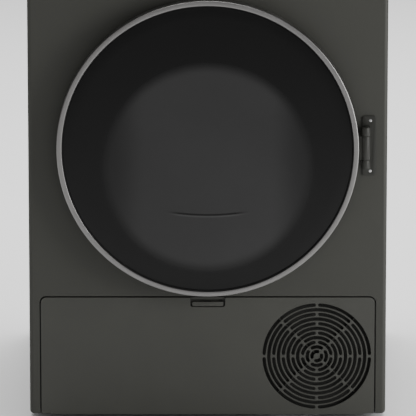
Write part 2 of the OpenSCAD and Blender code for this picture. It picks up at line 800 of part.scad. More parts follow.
// Fan frame with its hub and three struts, behind the grille.
module cooling_fan_frame() color([0.1, 0.1, 0.1]) {
    half = cooler_frame / 2;
    slab_y(cooler_y, cooler_y + cooler_t) difference() {
        round_rect(grille_x - half, grille_x + half, grille_z - half, grille_z + half, 6);
        translate([grille_x, grille_z]) circle(cooler_r + 2);
    }
    translate([grille_x, 0, grille_z]) {
        rod_y(cooler_y + cooler_t - 4, cooler_y + cooler_t, 22);
        around_y(3, 90) block(15, cooler_r + 4, cooler_y + cooler_t - 4, cooler_y + cooler_t, -3, 3);
        rod_y(cooler_y + 10, cooler_y + cooler_t, 3);
    }
    block(grille_x - 20, grille_x + 20, cooler_y + 4, cooler_y + cooler_t - 4,
          base_z + base_t, grille_z - half);
}

// Cooling rotor with seven blades.
module cooling_fan() color([0.15, 0.15, 0.15]) translate([grille_x, 0, grille_z])
    difference() {
        y0 = cooler_y + 3;
        y1 = cooler_y + cooler_t - 5;
        union() {
            rod_y(y0, y1, 20);
            intersection() {
                around_y(7) translate([0, (y0 + y1) / 2, 0]) rotate([38, 0, 0])
                    block(16, cooler_r, -9, 9, -1, 1);
                rod_y(y0, y1, cooler_r);
            }
        }
        rod_y(cooler_y + 10 - clear, y1 + 1, 3 + pin_gap);
    }

// Pump in the rear left corner of the base.
module drain_pump() color("gray") translate([-half_w + 82, rear_y - 46, floor_z]) {
    cylinder(h = 34, r = 22);
    translate([0, 0, 34]) cylinder(h = 42, r = 17);
    translate([0, 0, 22]) rod_y(0, 32, 7);
}

// Hose from the pump up the corner to the tank's sleeve.
module drain_hose() color("black") {
    x = -half_w + 22;
    y = rear_y - 20;
    r = 6;
    turn = 18;
    z1 = tank_z + tank_h - 18;
    translate([x, y, floor_z + 10]) cylinder(h = z1 - turn - floor_z - 10, r = r);
    translate([x, y - turn, z1 - turn]) rotate([0, 0, 90]) rotate([90, 0, 0])
        rotate_extrude(angle = 90) translate([turn, 0]) circle(r);
    translate([x, 0, z1]) rod_y(tank_y + tank_l + 8, y - turn, r);
}

// ---- Water tank ----

// Shelf and side walls that the tank slides in.
module tank_sleeve() color("gray") {
    x0 = tank_x - tank_w / 2 - sleeve_gap;
    x1 = tank_x + tank_w / 2 + sleeve_gap;
    y0 = front_y + wrap_d + 6;
    y1 = tank_y + tank_l + 8;
    z0 = tank_z - sleeve_gap;
    block(-inner_w, x1 + sleeve_t, y0, y1, z0 - sleeve_t, z0);
    block(x0 - sleeve_t, x0, y0, y1, z0 - 1, z0 + sleeve_wall_h);
    block(x1, x1 + sleeve_t, y0, y1, z0 - 1, z0 + sleeve_wall_h);
    block(x0 - sleeve_t, x1 + sleeve_t, y1 - sleeve_t, y1, z0 - 1, tank_z + tank_h);
}

// Hollow tank with a filling hole in its top and a pouring spout.
module tank_body() color("whitesmoke") difference() {
    x0 = tank_x - tank_w / 2;
    x1 = tank_x + tank_w / 2;
    y1 = tank_y + tank_l;
    block(x0, x1, tank_y, y1, tank_z, tank_z + tank_h);
    block(x0 + wall, x1 - wall, tank_y + wall, y1 - wall, tank_z + wall,
          tank_z + tank_h - wall);
    translate([tank_x, y1 - 40, tank_z]) cylinder(h = tank_h + 1, r = 16);
    translate([x0 + 30, tank_y + 30, tank_z + tank_h / 2]) cylinder(h = tank_h, r = 11);
}

// Drawer front with a finger scoop at its lower edge.
module tank_front() color([0.27, 0.27, 0.26]) {
    z0 = fascia_mid - tank_front_h / 2;
    z1 = fascia_mid + tank_front_h / 2;
    scoop_x = tank_x;
    scoop_w = 84;
    scoop_h = 24;
    difference() {
        union() {
            slab_y(front_y, front_y + wall)
                round_rect(tank_front_x0, tank_front_x0 + tank_front_w, z0, z1, 4);
            block(scoop_x - scoop_w / 2 - wall, scoop_x + scoop_w / 2 + wall, front_y + 1,
                  tank_y, z0 + 12 - wall, z0 + 12 + scoop_h + wall);
        }
        slab_y(front_y - 1, tank_y - wall)
            round_rect(scoop_x - scoop_w / 2, scoop_x + scoop_w / 2, z0 + 12,
                       z0 + 12 + scoop_h, 9);
    }
    for (x = [tank_x - tank_w / 2 + 8, tank_x + tank_w / 2 - 12])
        block(x, x + 4, front_y + 1, tank_y, tank_z + 4, tank_z + tank_h - 8);
}

// ---- Small fixed pieces ----

// Terminal box with the gland for the mains lead.
module mains_inlet() color("black") {
    x = half_w - 50;
    z = top_z - 60;
    depth = rear_proud - 1;
    gland_x = x + 26.5;
    box_w = 66;
    box_h = 40;
    gland_r = 6;
    gland_l = 14;
    lead_r = 4;
    difference() {
        union() {
            slab_y(rear_y - sheet, rear_y + depth)
                round_rect(x - box_w / 2, x + box_w / 2, z - box_h / 2, z + box_h / 2, 3);
            translate([gland_x, rear_y + depth / 2, z - box_h / 2 - gland_l])
                cylinder(h = gland_l + 2, r = gland_r);
        }
        translate([gland_x, rear_y + depth / 2, z - box_h / 2 - gland_l - 1])
            cylinder(h = gland_l + box_h / 2 + 1, r = lead_r);
    }
}

// Lock behind the front sheet that takes the door's hook.
module door_lock() color("black") difference() {
    block(hook_x - 14, hook_x + 12, front_y + sheet, front_y + 40, door_z - 28, door_z + 28);
    block(hook_x - 7, hook_x + 7, front_y, front_y + 34, door_z - 16, door_z + 16);
}

// Cheeks, pin and screw plate of the door's hinge.
module hinge_bracket() color("silver") {
    plate = 2.5;
    difference() {
        slab_y(front_y - plate, front_y)
            round_rect(hinge_x - 5, hinge_x + 17, door_z - hinge_half - 16,
                       door_z + hinge_half + 16, 4);
        for (z = [door_z - hinge_half - 8, door_z + hinge_half + 8])
            translate([hinge_x + 8, 0, z]) rod_y(front_y - plate - 1, front_y + 1, 2.6);
    }
    for (s = [-1, 1]) translate([0, 0, door_z + s * (hinge_half - hinge_cheek / 2)])
        linear_extrude(hinge_cheek, center = true) {
            translate([hinge_x, hinge_y]) circle(knuckle_r);
            translate([hinge_x, hinge_y]) square([knuckle_r, front_y - hinge_y - 1]);
        }
    translate([hinge_x, hinge_y, door_z]) cylinder(h = knuckle_h + 4, r = hinge_pin_r,
                                                   center = true);
}

// Screws of the rear panel, the worktop and the hinge plate.
module screws() color("gainsboro") {
    for (x = [-half_w + 9, half_w - 9], z = [110 : 170 : top_z - 38])
        translate([x, 0, z]) rod_y(rear_y, rear_y + 2.4, 4);
    for (a = [22.5 : 45 : 337.5]) translate([0, 0, drum_z]) rotate([0, a, 0])
        translate([rear_cover_r - 6, 0, 0]) rod_y(rear_y + 1.5, rear_y + 4, 4);
    for (z = [door_z - hinge_half - 8, door_z + hinge_half + 8])
        translate([hinge_x + 8, 0, z]) rod_y(front_y - 2.5, front_y + 8, 2.5);
}

// ---- Door ----

// Bright ring round the door.
module door_ring() color([0.5, 0.49, 0.48]) difference() {
    translate([0, 0, door_z]) turned_y(concat(
        [[door_r - ring_w, frame_y - 1], [door_r - ring_w, door_y + 1.5],
         [door_r - ring_w + 1.5, door_y]],
        [for (a = [90 : -15 : 0]) [door_r - ring_round + ring_round * cos(a),
                                   door_y + ring_round - ring_round * sin(a)]],
        [[door_r, door_back_y - 8], [door_r - 3, door_back_y - 8], [door_r - 3, frame_y - 1]]));
    grip_cut();
    leaf_cut(0);
}

// Smoked outer pane.
module door_glass() color([0.13, 0.13, 0.13]) translate([0, 0, door_z])
    rod_y(door_y + glass_set, frame_y, glass_r);

// Black frame behind the pane, with the finger grip at the left.
module door_frame() color([0.1, 0.1, 0.1]) difference() {
    translate([0, 0, door_z]) turned_y([
        [bowl_r + bowl_lip_w + clear, frame_y], [glass_r, frame_y],
        [glass_r, frame_y - glass_t + 1], [door_r - ring_w, frame_y - glass_t + 1],
        [door_r - ring_w, frame_y - 1], [door_r - 3, frame_y - 1], [door_r - 3, door_back_y - 8],
        [door_r - 14, door_back_y], [bowl_r + 4, door_back_y], [bowl_r + 4, bowl_seat_y],
        [bowl_r + bowl_lip_w + clear, bowl_seat_y]]);
    grip_cut();
    leaf_cut(clear);
}

// Space for the fingers behind the ring.
module grip_cut()
    block(-door_r - 1, -door_r + grip_in, frame_y + 6, door_back_y + 1,
          door_z - grip_h / 2, door_z + grip_h / 2);

// Space for the hinge's leaf.
module leaf_cut(grow)
    block(door_r - 30 - grow, door_r + 1, hinge_y - 3 - grow, door_back_y + 1,
          door_z - knuckle_h / 2 - grow, door_z + knuckle_h / 2 + grow);

// Glass bowl that reaches into the mouth.
module door_bowl() color([0.7, 0.75, 0.75, 0.6]) translate([0, 0, door_z]) {
    y0 = front_y + bowl_depth;
    turned_y([[bowl_r + bowl_lip_w, bowl_seat_y - bowl_t], [bowl_r + bowl_lip_w, bowl_seat_y],
              [bowl_r, bowl_seat_y], [bowl_r, front_y + 6], [bowl_floor_r + 8, y0 - 6],
              [bowl_floor_r, y0], [0, y0], [0, y0 - bowl_t], [bowl_floor_r - 3, y0 - bowl_t],
              [bowl_floor_r + 3, y0 - 9], [bowl_r - bowl_t, front_y + 4],
              [bowl_r - bowl_t, bowl_seat_y - bowl_t]]);
}

// Steel hook that the lock holds.
module door_hook() color("silver") slab_x(hook_x - 2, hook_x + 2) {
    translate([door_back_y, door_z - 8]) square([front_y + 22 - door_back_y, 12]);
    translate([front_y + 14, door_z - 11]) square([8, 18]);
}

// Leaf with the knuckle that turns on the hinge pin.
module door_hinge_leaf() color("silver") difference() {
    union() {
        translate([hinge_x, hinge_y, door_z])
            cylinder(h = knuckle_h, r = knuckle_r, center = true);
        block(door_r - 30, hinge_x, hinge_y - 3, hinge_y + 3, door_z - knuckle_h / 2,
              door_z + knuckle_h / 2);
    }
    translate([hinge_x, hinge_y, door_z])
        cylinder(h = knuckle_h + 2, r = hinge_pin_r + pin_gap, center = true);
}

// ---- Drum ----

// Drum barrel, closed in at the front to the running lip.
module drum_shell() color("silver") translate([0, 0, drum_z]) {
    turned_y([[drum_r, drum_back_y], [drum_r, drum_front_y + 8], [drum_r - 8, drum_front_y],
              [lip_r + drum_wall, drum_front_y], [lip_r + drum_wall, drum_lip_y],
              [lip_r, drum_lip_y], [lip_r, drum_front_y + drum_wall],
              [drum_r - 8 - drum_wall / 2, drum_front_y + drum_wall],
              [drum_r - drum_wall, drum_front_y + 8 + drum_wall / 2],
              [drum_r - drum_wall, drum_back_y]]);
}

// Perforated rear wall of the drum.
module drum_rear_wall() color("silver") translate([0, 0, drum_z]) difference() {
    rod_y(drum_back_y - 1.5, drum_back_y, drum_r - drum_wall);
    for (k = [0 : 3]) around_y(18 + 6 * k, k * 5) translate([95 + k * 38, 0, 0])
        rod_y(drum_back_y - 3, drum_back_y + 1, 6);
    rod_y(drum_back_y - 3, drum_back_y + 1, shaft_r);
}

// Three lifters along the barrel.
module drum_lifters() color("gray") translate([0, 0, drum_z]) intersection() {
    around_y(3, 90) slab_y(drum_front_y + 12, drum_back_y - 12)
        polygon([[drum_r, -34], [drum_r, 34], [drum_r - drum_wall - lifter_h, 9],
                 [drum_r - drum_wall - lifter_h, -9]]);
    rod_y(drum_front_y, drum_back_y, drum_r - drum_wall);
}

// Stub shaft with its star carrier.
module drum_shaft() color("gray") translate([0, 0, drum_z]) {
    rod_y(drum_back_y - 1.5, rear_in_y + 4, shaft_r);
    slab_y(drum_back_y, drum_back_y + 5) {
        circle(shaft_r + 14);
        for (a = [30 : 120 : 270]) rotate(a) translate([0, -9]) square([70, 18]);
    }
}

// Roller under the drum's front lip.
module roller(s) color("white") translate([s * roller_x, 0, roller_z])
    tube_y(roller_y, roller_y + roller_w, roller_r, roller_pin_r + pin_gap);

// Lint filter: a flat basket with windows, its foot rounded to the bulkhead's flange.
module lint_filter() color("whitesmoke") difference() {
    z1 = door_z - mouth_r / 2;
    intersection() {
        block(-filter_w / 2, filter_w / 2, filter_y, filter_y + filter_t, filter_z, z1);
        translate([0, 0, drum_z]) rod_y(front_y, rear_y, filter_round_r);
    }
    translate([0, 0, door_z]) rod_y(filter_y - 1, filter_y + filter_t + 1, mouth_r);
    block(-filter_w / 2 + wall, filter_w / 2 - wall, filter_y + wall,
          filter_y + filter_t - wall, filter_z + wall, door_z - mouth_r - 6);
    for (i = [-3 : 3])
        block(i * 28 - 11, i * 28 + 11, filter_y - 1, filter_y + filter_t + 1,
              filter_z + 5, door_z - mouth_r - 8);
    block(-30, 30, filter_y + 6, filter_y + filter_t - 6, door_z - mouth_r - 4, z1);
}

// ---- Kick panel ----

// Low front panel with its round grille, rim and hinge barrels.
module kick_panel() color([0.28, 0.28, 0.26]) {
    half = kick_w / 2;
    difference() {
        union() {
            kick_shell(half);
            for (s = [-1, 1]) kick_barrel(s * kick_hinge_x);
            translate([grille_x, 0, grille_z]) for (a = [45, 135]) rotate([0, a, 0])
                block(-slot_pitch * grille_rings, slot_pitch * grille_rings,
                      front_y + 1, front_y + 8, -1.2, 1.2);
        }
        for (k = [1 : grille_rings]) slot_ring(k);
        slab_y(front_y - 1, front_y + kick_rim + 1) latch_pocket(0);
        for (s = [-1, 1]) translate([s * kick_hinge_x, kick_axis_y, kick_axis_z])
            rotate([0, 90, 0]) cylinder(h = kick_barrel_l + 2, r = kick_pin_r + pin_gap,
                                        center = true);
    }
}

// Face and rim of the kick panel.
module kick_shell(half) difference() {
    slab_y(front_y, front_y + kick_rim) {
        round_rect(-half, half, base_z, kick_top, kick_corner_r);
        translate([-half, base_z]) square([kick_w, kick_h / 2]);
        translate([-half + kick_lip_in, base_z - kick_lip])
            square([kick_w - 2 * kick_lip_in, kick_h / 2]);
    }
    slab_y(front_y + kick_t, front_y + kick_rim + 1) difference() {
        round_rect(-half + wall, half - wall, base_z - 60, kick_top - wall,
                   kick_corner_r - wall);
        latch_pocket(wall);
    }
}

// Barrel that turns on a pin of the base, joined to the face by a web.
module kick_barrel(x) {
    slab_x(x - kick_barrel_l / 2, x + kick_barrel_l / 2) {
        translate([kick_axis_y, kick_axis_z]) circle(kick_barrel_r);
        translate([front_y + 1, kick_axis_z - 3]) square([kick_axis_y - front_y - 1, 6]);
    }
}

// One ring of slots, cut by spokes that alternate between straight and diagonal.
module slot_ring(k) translate([grille_x, 0, grille_z])
    slab_y(front_y - 1, front_y + kick_t) difference() {
        circle(k * slot_pitch + slot_w / 2);
        circle(k * slot_pitch - slot_w / 2);
        for (a = k == 1 ? [45] : k % 2 == 1 ? [0, 90] : [45, 135]) rotate(a)
            square([2.2 * k * slot_pitch + 2 * slot_w, spoke_w], center = true);
    }

// Outline of the pocket round the push latch, grown by a wall; it is open above the tab.
module latch_pocket(grow)
    round_rect(-latch_w / 2 - pocket_side - grow, latch_w / 2 + pocket_side + grow,
               latch_z - latch_h / 2 - fine_seam - grow,
               latch_z + latch_h / 2 + pocket_top + grow, pocket_r + grow);

// Push latch in the top of the kick panel: a tab and its stem.
module kick_latch() color([0.27, 0.27, 0.26]) {
    slab_y(front_y, front_y + latch_t)
        round_rect(-latch_w / 2, latch_w / 2, latch_z - latch_h / 2, latch_z + latch_h / 2,
                   latch_r);
    slab_y(front_y + latch_t - 1, front_y + latch_stem_l)
        round_rect(-latch_stem_w / 2, latch_stem_w / 2, latch_z - latch_stem_h / 2,
                   latch_z + latch_stem_h / 2, 2);
}

// ---- Controls and feet ----

// Programme knob with a bevelled cap and its spindle.
module programme_knob() color("silver") translate([knob_x, 0, fascia_mid]) {
    y0 = front_y - knob_proud;
    y1 = front_y - clear;
    turned_y([[0, y0], [knob_r - 3, y0], [knob_r - 1.5, y0 + 1.5], [knob_r, y1 - 2],
              [knob_r, y1], [0, y1]]);
    rod_y(y1 - 1, board_y, 3);
}

// Push button with a retaining flange behind the fascia.
module push_button(x) color("silver") translate([x, 0, fascia_mid]) {
    rod_y(front_y - button_proud, front_y + wall + 3, button_r);
    rod_y(front_y + wall + clear, front_y + wall + 3, button_r + button_flange);
}

// Levelling foot: pad and threaded stud.
module foot(f) color([0.1, 0.1, 0.1]) translate([f[1], f[2], 0]) {
    cylinder(h = foot_pad_h, r = foot_pad_r);
    cylinder(h = foot_h + foot_stud_l - foot_stud_gap, r = foot_stud_r);
}

base_tray();
side_panel(-1);  // side_panel_left
side_panel(1);  // side_panel_right
rear_panel();
rear_duct_cover();
worktop();
front_panel();
control_fascia();
display_window();
control_board();
bulkhead();
door_seal();
felt_seals();
rear_bearing();
exchanger_housing();
exchanger_cover();
heat_exchangers();
compressor();
compressor_grommets();
refrigerant_pipes();
motor_body();
fan_housing();
drain_pump();
drain_hose();
tank_sleeve();
mains_inlet();
door_lock();
hinge_bracket();
drive_belt();
screws();
cooling_fan_frame();
door_ring();
door_glass();
door_frame();
door_bowl();
door_hook();
door_hinge_leaf();
drum_shell();
drum_rear_wall();
drum_lifters();
drum_shaft();
motor_rotor();
process_fan();
roller(-1);  // roller_left
roller(1);  // roller_right
cooling_fan();
kick_panel();
kick_latch();
lever(lever_x[0]);  // lever_left
lever(lever_x[1]);  // lever_right
tank_body();
tank_front();
programme_knob();
push_button(power_x);  // power_button
push_button(start_x);  // start_button
lint_filter();
foot(FEET[0]);  // foot_front_left
foot(FEET[1]);  // foot_front_right
foot(FEET[2]);  // foot_rear_left
foot(FEET[3]);  // foot_rear_right
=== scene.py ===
"""Looks of a free-standing clothes dryer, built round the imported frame. Metres, +Z up, front on -Y."""
import json
import math

import bmesh
import bpy
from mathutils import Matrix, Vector


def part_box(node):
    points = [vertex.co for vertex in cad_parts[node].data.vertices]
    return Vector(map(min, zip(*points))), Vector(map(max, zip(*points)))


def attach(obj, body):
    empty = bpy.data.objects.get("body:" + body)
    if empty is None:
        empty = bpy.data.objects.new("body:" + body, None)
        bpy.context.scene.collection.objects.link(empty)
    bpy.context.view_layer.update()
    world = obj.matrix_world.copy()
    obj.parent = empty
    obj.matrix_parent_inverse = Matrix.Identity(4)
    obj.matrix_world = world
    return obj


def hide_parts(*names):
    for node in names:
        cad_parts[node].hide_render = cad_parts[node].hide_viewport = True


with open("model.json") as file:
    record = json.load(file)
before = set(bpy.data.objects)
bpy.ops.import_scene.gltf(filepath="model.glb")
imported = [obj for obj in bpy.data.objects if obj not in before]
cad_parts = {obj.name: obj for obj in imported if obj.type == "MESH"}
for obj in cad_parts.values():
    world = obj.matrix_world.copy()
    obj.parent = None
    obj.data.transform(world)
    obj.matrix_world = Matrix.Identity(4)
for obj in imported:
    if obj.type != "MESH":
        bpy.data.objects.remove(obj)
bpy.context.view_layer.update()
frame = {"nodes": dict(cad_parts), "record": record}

MM = 0.001

# ---- Places that several pieces share, all from the frame ----

panel_lo, panel_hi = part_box("front_panel")
fascia_lo, fascia_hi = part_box("control_fascia")
worktop_lo, worktop_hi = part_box("worktop")
kick_lo, kick_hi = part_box("kick_panel")
latch_lo, latch_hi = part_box("kick_latch")
ring_lo, ring_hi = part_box("door_ring")
glass_lo, glass_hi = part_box("door_glass")
seal_lo, seal_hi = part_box("door_seal")
housing_lo, housing_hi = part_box("cooling_fan_frame")
knob_lo, knob_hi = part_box("programme_knob")
display_lo, display_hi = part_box("display_window")
drawer_lo, drawer_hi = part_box("tank_front")
fan_lo, fan_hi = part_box("cooling_fan")
drum_lo, drum_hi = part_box("drum_shell")

HALF_W = panel_hi.x
FRONT_Y = panel_lo.y
BASE_Z = panel_lo.z
WRAP_D = panel_hi.y - panel_lo.y
EDGE_R = 7 * MM
FOOT_R = 5 * MM
SHEET = 1.2 * MM
WALL = 2.5 * MM
DOOR_Z = (glass_lo.z + glass_hi.z) / 2
DOOR_R = (ring_hi.z - ring_lo.z) / 2
DOOR_Y = ring_lo.y
RING_W = 8.5 * MM
GLASS_R = (glass_hi.z - glass_lo.z) / 2
SEAL_LIP = 13 * MM
MOUTH_R = (seal_hi.x - seal_lo.x) / 2 - SEAL_LIP
SEAM = 2 * MM
FINE_SEAM = 1.2 * MM
CONTROLS_Z = (display_lo.z + display_hi.z) / 2
LATCH_Z = (latch_lo.z + latch_hi.z) / 2
DRUM_Z = (drum_lo.z + drum_hi.z) / 2
DRUM_R = (drum_hi.z - drum_lo.z) / 2
GRILLE_X = (fan_lo.x + fan_hi.x) / 2
GRILLE_Z = housing_hi.z - (housing_hi.x - housing_lo.x) / 2


# ---- Outlines ----

def arc(cx, cy, radius, start, end, steps):
    """Points along an arc, with the angles in degrees."""
    points = []
    for i in range(steps + 1):
        a = math.radians(start + (end - start) * i / steps)
        points.append((cx + radius * math.cos(a), cy + radius * math.sin(a)))
    return points


def corner_points(before, corner, after, radius, grow, steps):
    """Rounded corner of a counter-clockwise outline that has grown outwards by grow."""
    d0 = (Vector(corner) - Vector(before)).normalized()
    d1 = (Vector(after) - Vector(corner)).normalized()
    n0 = Vector((d0.y, -d0.x))
    n1 = Vector((d1.y, -d1.x))
    turn = d0.x * d1.y - d0.y * d1.x
    half = math.acos(max(-1, min(1, d0.dot(d1)))) / 2
    bisector = (n0 + n1).normalized()
    grown = Vector(corner) + bisector * grow / math.cos(half)
    fillet = max(radius + (grow if turn > 0 else -grow), 0.02 * MM)
    side = 1 if turn > 0 else -1
    centre = grown - bisector * side * fillet / math.cos(half)
    a0 = math.atan2(n0.y * side, n0.x * side)
    sweep = math.acos(max(-1, min(1, d0.dot(d1)))) * side
    return [(centre.x + fillet * math.cos(a0 + sweep * i / steps),
             centre.y + fillet * math.sin(a0 + sweep * i / steps)) for i in range(steps + 1)]


def polygon_shape(corners, radii, steps=6):
    """Outline function of a counter-clockwise polygon with a fillet at each corner."""
    def outline(grow=0.0):
        points = []
        n = len(corners)
        for i in range(n):
            points += corner_points(corners[i - 1], corners[i], corners[(i + 1) % n],
                                    radii[i], grow, steps)
        return points
    return outline


def rect_shape(x0, x1, z0, z1, radius, steps=8):
    return polygon_shape([(x0, z0), (x1, z0), (x1, z1), (x0, z1)], [radius] * 4, steps)


def circle_shape(cx, cz, radius, steps=128):
    def outline(grow=0.0):
        return arc(cx, cz, radius + grow, 0, 360 * (steps - 1) / steps, steps - 1)
    return outline


def slot_shape(cx, cz, radius, half, start, end):
    """Outline function of a curved slot with round ends, its angles in degrees."""
    def outline(grow=0.0):
        h = half + grow
        steps = max(4, int((end - start) * radius / MM / 110))
        a0, a1 = math.radians(start), math.radians(end)
        outer = arc(cx, cz, radius + h, start, end, steps)
        tip = arc(cx + radius * math.cos(a1), cz + radius * math.sin(a1), h, end, end + 180, 8)
        inner = arc(cx, cz, radius - h, end, start, steps)
        heel = arc(cx + radius * math.cos(a0), cz + radius * math.sin(a0), h,
                   start + 180, start + 360, 8)
        return outer + tip[1:-1] + inner + heel[1:-1]
    return outline


# ---- Mesh builders ----

def finish_mesh(bm, name, merge=0.002 * MM):
    bmesh.ops.remove_doubles(bm, verts=bm.verts, dist=merge)
    bmesh.ops.recalc_face_normals(bm, faces=bm.faces)
    mesh = bpy.data.meshes.new(name)
    bm.to_mesh(mesh)
    bm.free()
    piece = bpy.data.objects.new(name, mesh)
    bpy.context.scene.collection.objects.link(piece)
    return piece


def ring_faces(bm, lower, upper, smooth=True):
    n = len(lower)
    for i in range(n):
        quad = (lower[i], lower[(i + 1) % n], upper[(i + 1) % n], upper[i])
        face = bm.faces.new(quad)
        face.smooth = smooth


def edge_levels(depth, edge, back_edge, steps=4):
    """Inset and depth of each ring of a plate's rounded side, from its face to its back."""
    levels = []
    for i in range(steps + 1):
        a = math.pi / 2 * i / steps
        levels.append((edge * (1 - math.sin(a)), edge * (1 - math.cos(a))))
    if back_edge > 0:
        for i in range(steps + 1):
            a = math.pi / 2 * i / steps
            levels.append((back_edge * (1 - math.cos(a)), depth - back_edge * (1 - math.sin(a))))
    else:
        levels.append((0.0, depth))
    return levels


def plate(name, shapes, depth, edge, to_world, back_edge=0.0, cuts=(), levels=()):
    """Plate with rounded edges: the first shape is its outline, the others are holes.
    to_world turns (u, v, depth) into a point; cuts and levels are places along u and v
    where it will bend."""
    bm = bmesh.new()
    front, back = [], []
    for index, shape in enumerate(shapes):
        side = -1 if index == 0 else 1
        rings = []
        for inset, w in edge_levels(depth, edge, back_edge):
            rings.append([bm.verts.new((u, v, w)) for u, v in shape(side * inset)])
        for a, b in zip(rings, rings[1:]):
            ring_faces(bm, a, b)
        front.append(rings[0])
        back.append(rings[-1])
    bm.edges.ensure_lookup_table()
    for loops in (front, back):
        edges = []
        for loop in loops:
            for i in range(len(loop)):
                edges.append(bm.edges.get((loop[i], loop[(i + 1) % len(loop)])))
        made = bmesh.ops.triangle_fill(bm, use_beauty=True, edges=edges)
        for item in made["geom"]:
            if isinstance(item, bmesh.types.BMFace):
                item.smooth = False
    planes = [((u, 0, 0), (1, 0, 0)) for u in cuts] + [((0, v, 0), (0, 1, 0)) for v in levels]
    for point, normal in planes:
        everything = list(bm.verts) + list(bm.edges) + list(bm.faces)
        bmesh.ops.bisect_plane(bm, geom=everything, plane_co=point, plane_no=normal)
    for vert in bm.verts:
        vert.co = to_world(*vert.co)
    if cuts:
        for face in bm.faces:
            if all(abs(abs(v.co.x) - HALF_W) < EDGE_R * 1.01 for v in face.verts):
                face.smooth = True
    return finish_mesh(bm, name)


def front_at(y):
    """Mapping for a plate that lies in the front, its face at depth y."""
    return lambda u, v, w: Vector((u, y + w, v))


def wrap_round(u, v, w):
    """Mapping for a plate that bends round the cabinet's two front edges."""
    flat = HALF_W - EDGE_R
    side = 1 if u > 0 else -1
    run = abs(u) - flat
    quarter = EDGE_R * math.pi / 2
    if run <= 0:
        return Vector((u, FRONT_Y + w, v))
    if run < quarter:
        a = run / EDGE_R
        return Vector((side * (flat + (EDGE_R - w) * math.sin(a)),
                       FRONT_Y + EDGE_R - (EDGE_R - w) * math.cos(a), v))
    return Vector((side * (HALF_W - w), FRONT_Y + EDGE_R + run - quarter, v))


def wrap_foot(u, v, w):
    """The same bend, drawn in at the foot so that the lower corners are round."""
    point = wrap_round(u, v, w)
    drop = BASE_Z + FOOT_R - v
    near = (abs(point.x) - HALF_W + EDGE_R) / EDGE_R
    if drop > 0 and near > 0:
        inward = FOOT_R - math.sqrt(max(FOOT_R ** 2 - drop ** 2, 0))
        point.x -= math.copysign(inward * min(near, 1), point.x)
    return point


def wrap_reach():
    """Half length of a plate that wraps as far as the CAD piece does."""
    return HALF_W - EDGE_R + EDGE_R * math.pi / 2 + WRAP_D - EDGE_R


def wrap_cuts():
    flat = HALF_W - EDGE_R
    quarter = EDGE_R * math.pi / 2
    return [s * (flat + quarter * i / 8) for s in (-1, 1) for i in range(9)]


def turned_face(bm, a, b, i, j):
    """One face between two rings of a turned piece; a ring of one vertex is its pole."""
    if len(a) == 1:
        face = bm.faces.new((a[0], b[j], b[i]))
    elif len(b) == 1:
        face = bm.faces.new((a[i], a[j], b[0]))
    else:
        face = bm.faces.new((a[i], a[j], b[j], b[i]))
    face.smooth = True


def lathe(name, profile, centre, segments=160):
    """Turned piece about a line along Y through centre (x, z); profile is (radius, y) pairs."""
    bm = bmesh.new()
    rings = []
    for r, y in profile:
        if r < 1e-6:
            rings.append([bm.verts.new((centre[0], y, centre[1]))])
            continue
        rings.append([bm.verts.new((centre[0] + r * math.cos(2 * math.pi * i / segments), y,
                                    centre[1] + r * math.sin(2 * math.pi * i / segments)))
                      for i in range(segments)])
    for a, b in zip(rings, rings[1:] + rings[:1]):
        if len(a) == 1 and len(b) == 1:
            continue
        for i in range(segments):
            turned_face(bm, a, b, i, (i + 1) % segments)
    return finish_mesh(bm, name)


def sharpen(piece, degrees=35):
    """Keeps a smooth-shaded piece crisp where its faces meet at more than an angle."""
    mesh = piece.data
    bm = bmesh.new()
    bm.from_mesh(mesh)
    limit = math.radians(degrees)
    for edge in bm.edges:
        if len(edge.link_faces) == 2 and edge.calc_face_angle(0) > limit:
            edge.smooth = False
    bm.to_mesh(mesh)
    bm.free()
    return piece


def softened(node, width, steps=2, degrees=30):
    """Copy of a CAD node with its sharp edges rounded."""
    bm = bmesh.new()
    bm.from_mesh(frame["nodes"][node].data)
    bmesh.ops.remove_doubles(bm, verts=bm.verts, dist=0.002 * MM)
    bmesh.ops.dissolve_limit(bm, angle_limit=math.radians(0.6), verts=bm.verts, edges=bm.edges)
    limit = math.radians(degrees)
    edges = [e for e in bm.edges if len(e.link_faces) == 2 and e.calc_face_angle(0) > limit]
    bmesh.ops.bevel(bm, geom=edges, offset=width, offset_type="OFFSET", segments=steps,
                    profile=0.5, affect="EDGES", clamp_overlap=True)
    for face in bm.faces:
        face.smooth = True
    return sharpen(finish_mesh(bm, node + "_soft", 0.0005 * MM), 42)


def disc_profile(r1, y0, y1, edge, steps=5):
    """Profile of a solid disc with its outer edges rounded."""
    points = [(0.0, y0)]
    points += arc(r1 - edge, y0 + edge, edge, -90, 0, steps)
    points += arc(r1 - edge, y1 - edge, edge, 0, 90, steps)
    points.append((0.0, y1))
    return points


def join(name, pieces):
    bpy.ops.object.select_all(action="DESELECT")
    for piece in pieces:
        piece.select_set(True)
    bpy.context.view_layer.objects.active = pieces[0]
    bpy.ops.object.join()
    pieces[0].name = name
    pieces[0].data.name = name
    return pieces[0]


# ---- Materials ----

def new_material(name):
    material = bpy.data.materials.new(name)
    material.use_nodes = True
    nodes = material.node_tree.nodes
    shader = nodes["Principled BSDF"]
    place = nodes.new("ShaderNodeTexCoord")
    return material, nodes, material.node_tree.links, shader, place.outputs["Object"]


def noise(nodes, links, place, scale, detail=3.0, stretch=(1, 1, 1)):
    """Noise at scale features per metre, stretched along the axes."""
    mapping = nodes.new("ShaderNodeMapping")
    mapping.inputs["Scale"].default_value = stretch
    links.new(place, mapping.inputs["Vector"])
    texture = nodes.new("ShaderNodeTexNoise")
    texture.inputs["Scale"].default_value = scale
    texture.inputs["Detail"].default_value = detail
    links.new(mapping.outputs["Vector"], texture.inputs["Vector"])
    return texture.outputs["Fac"]


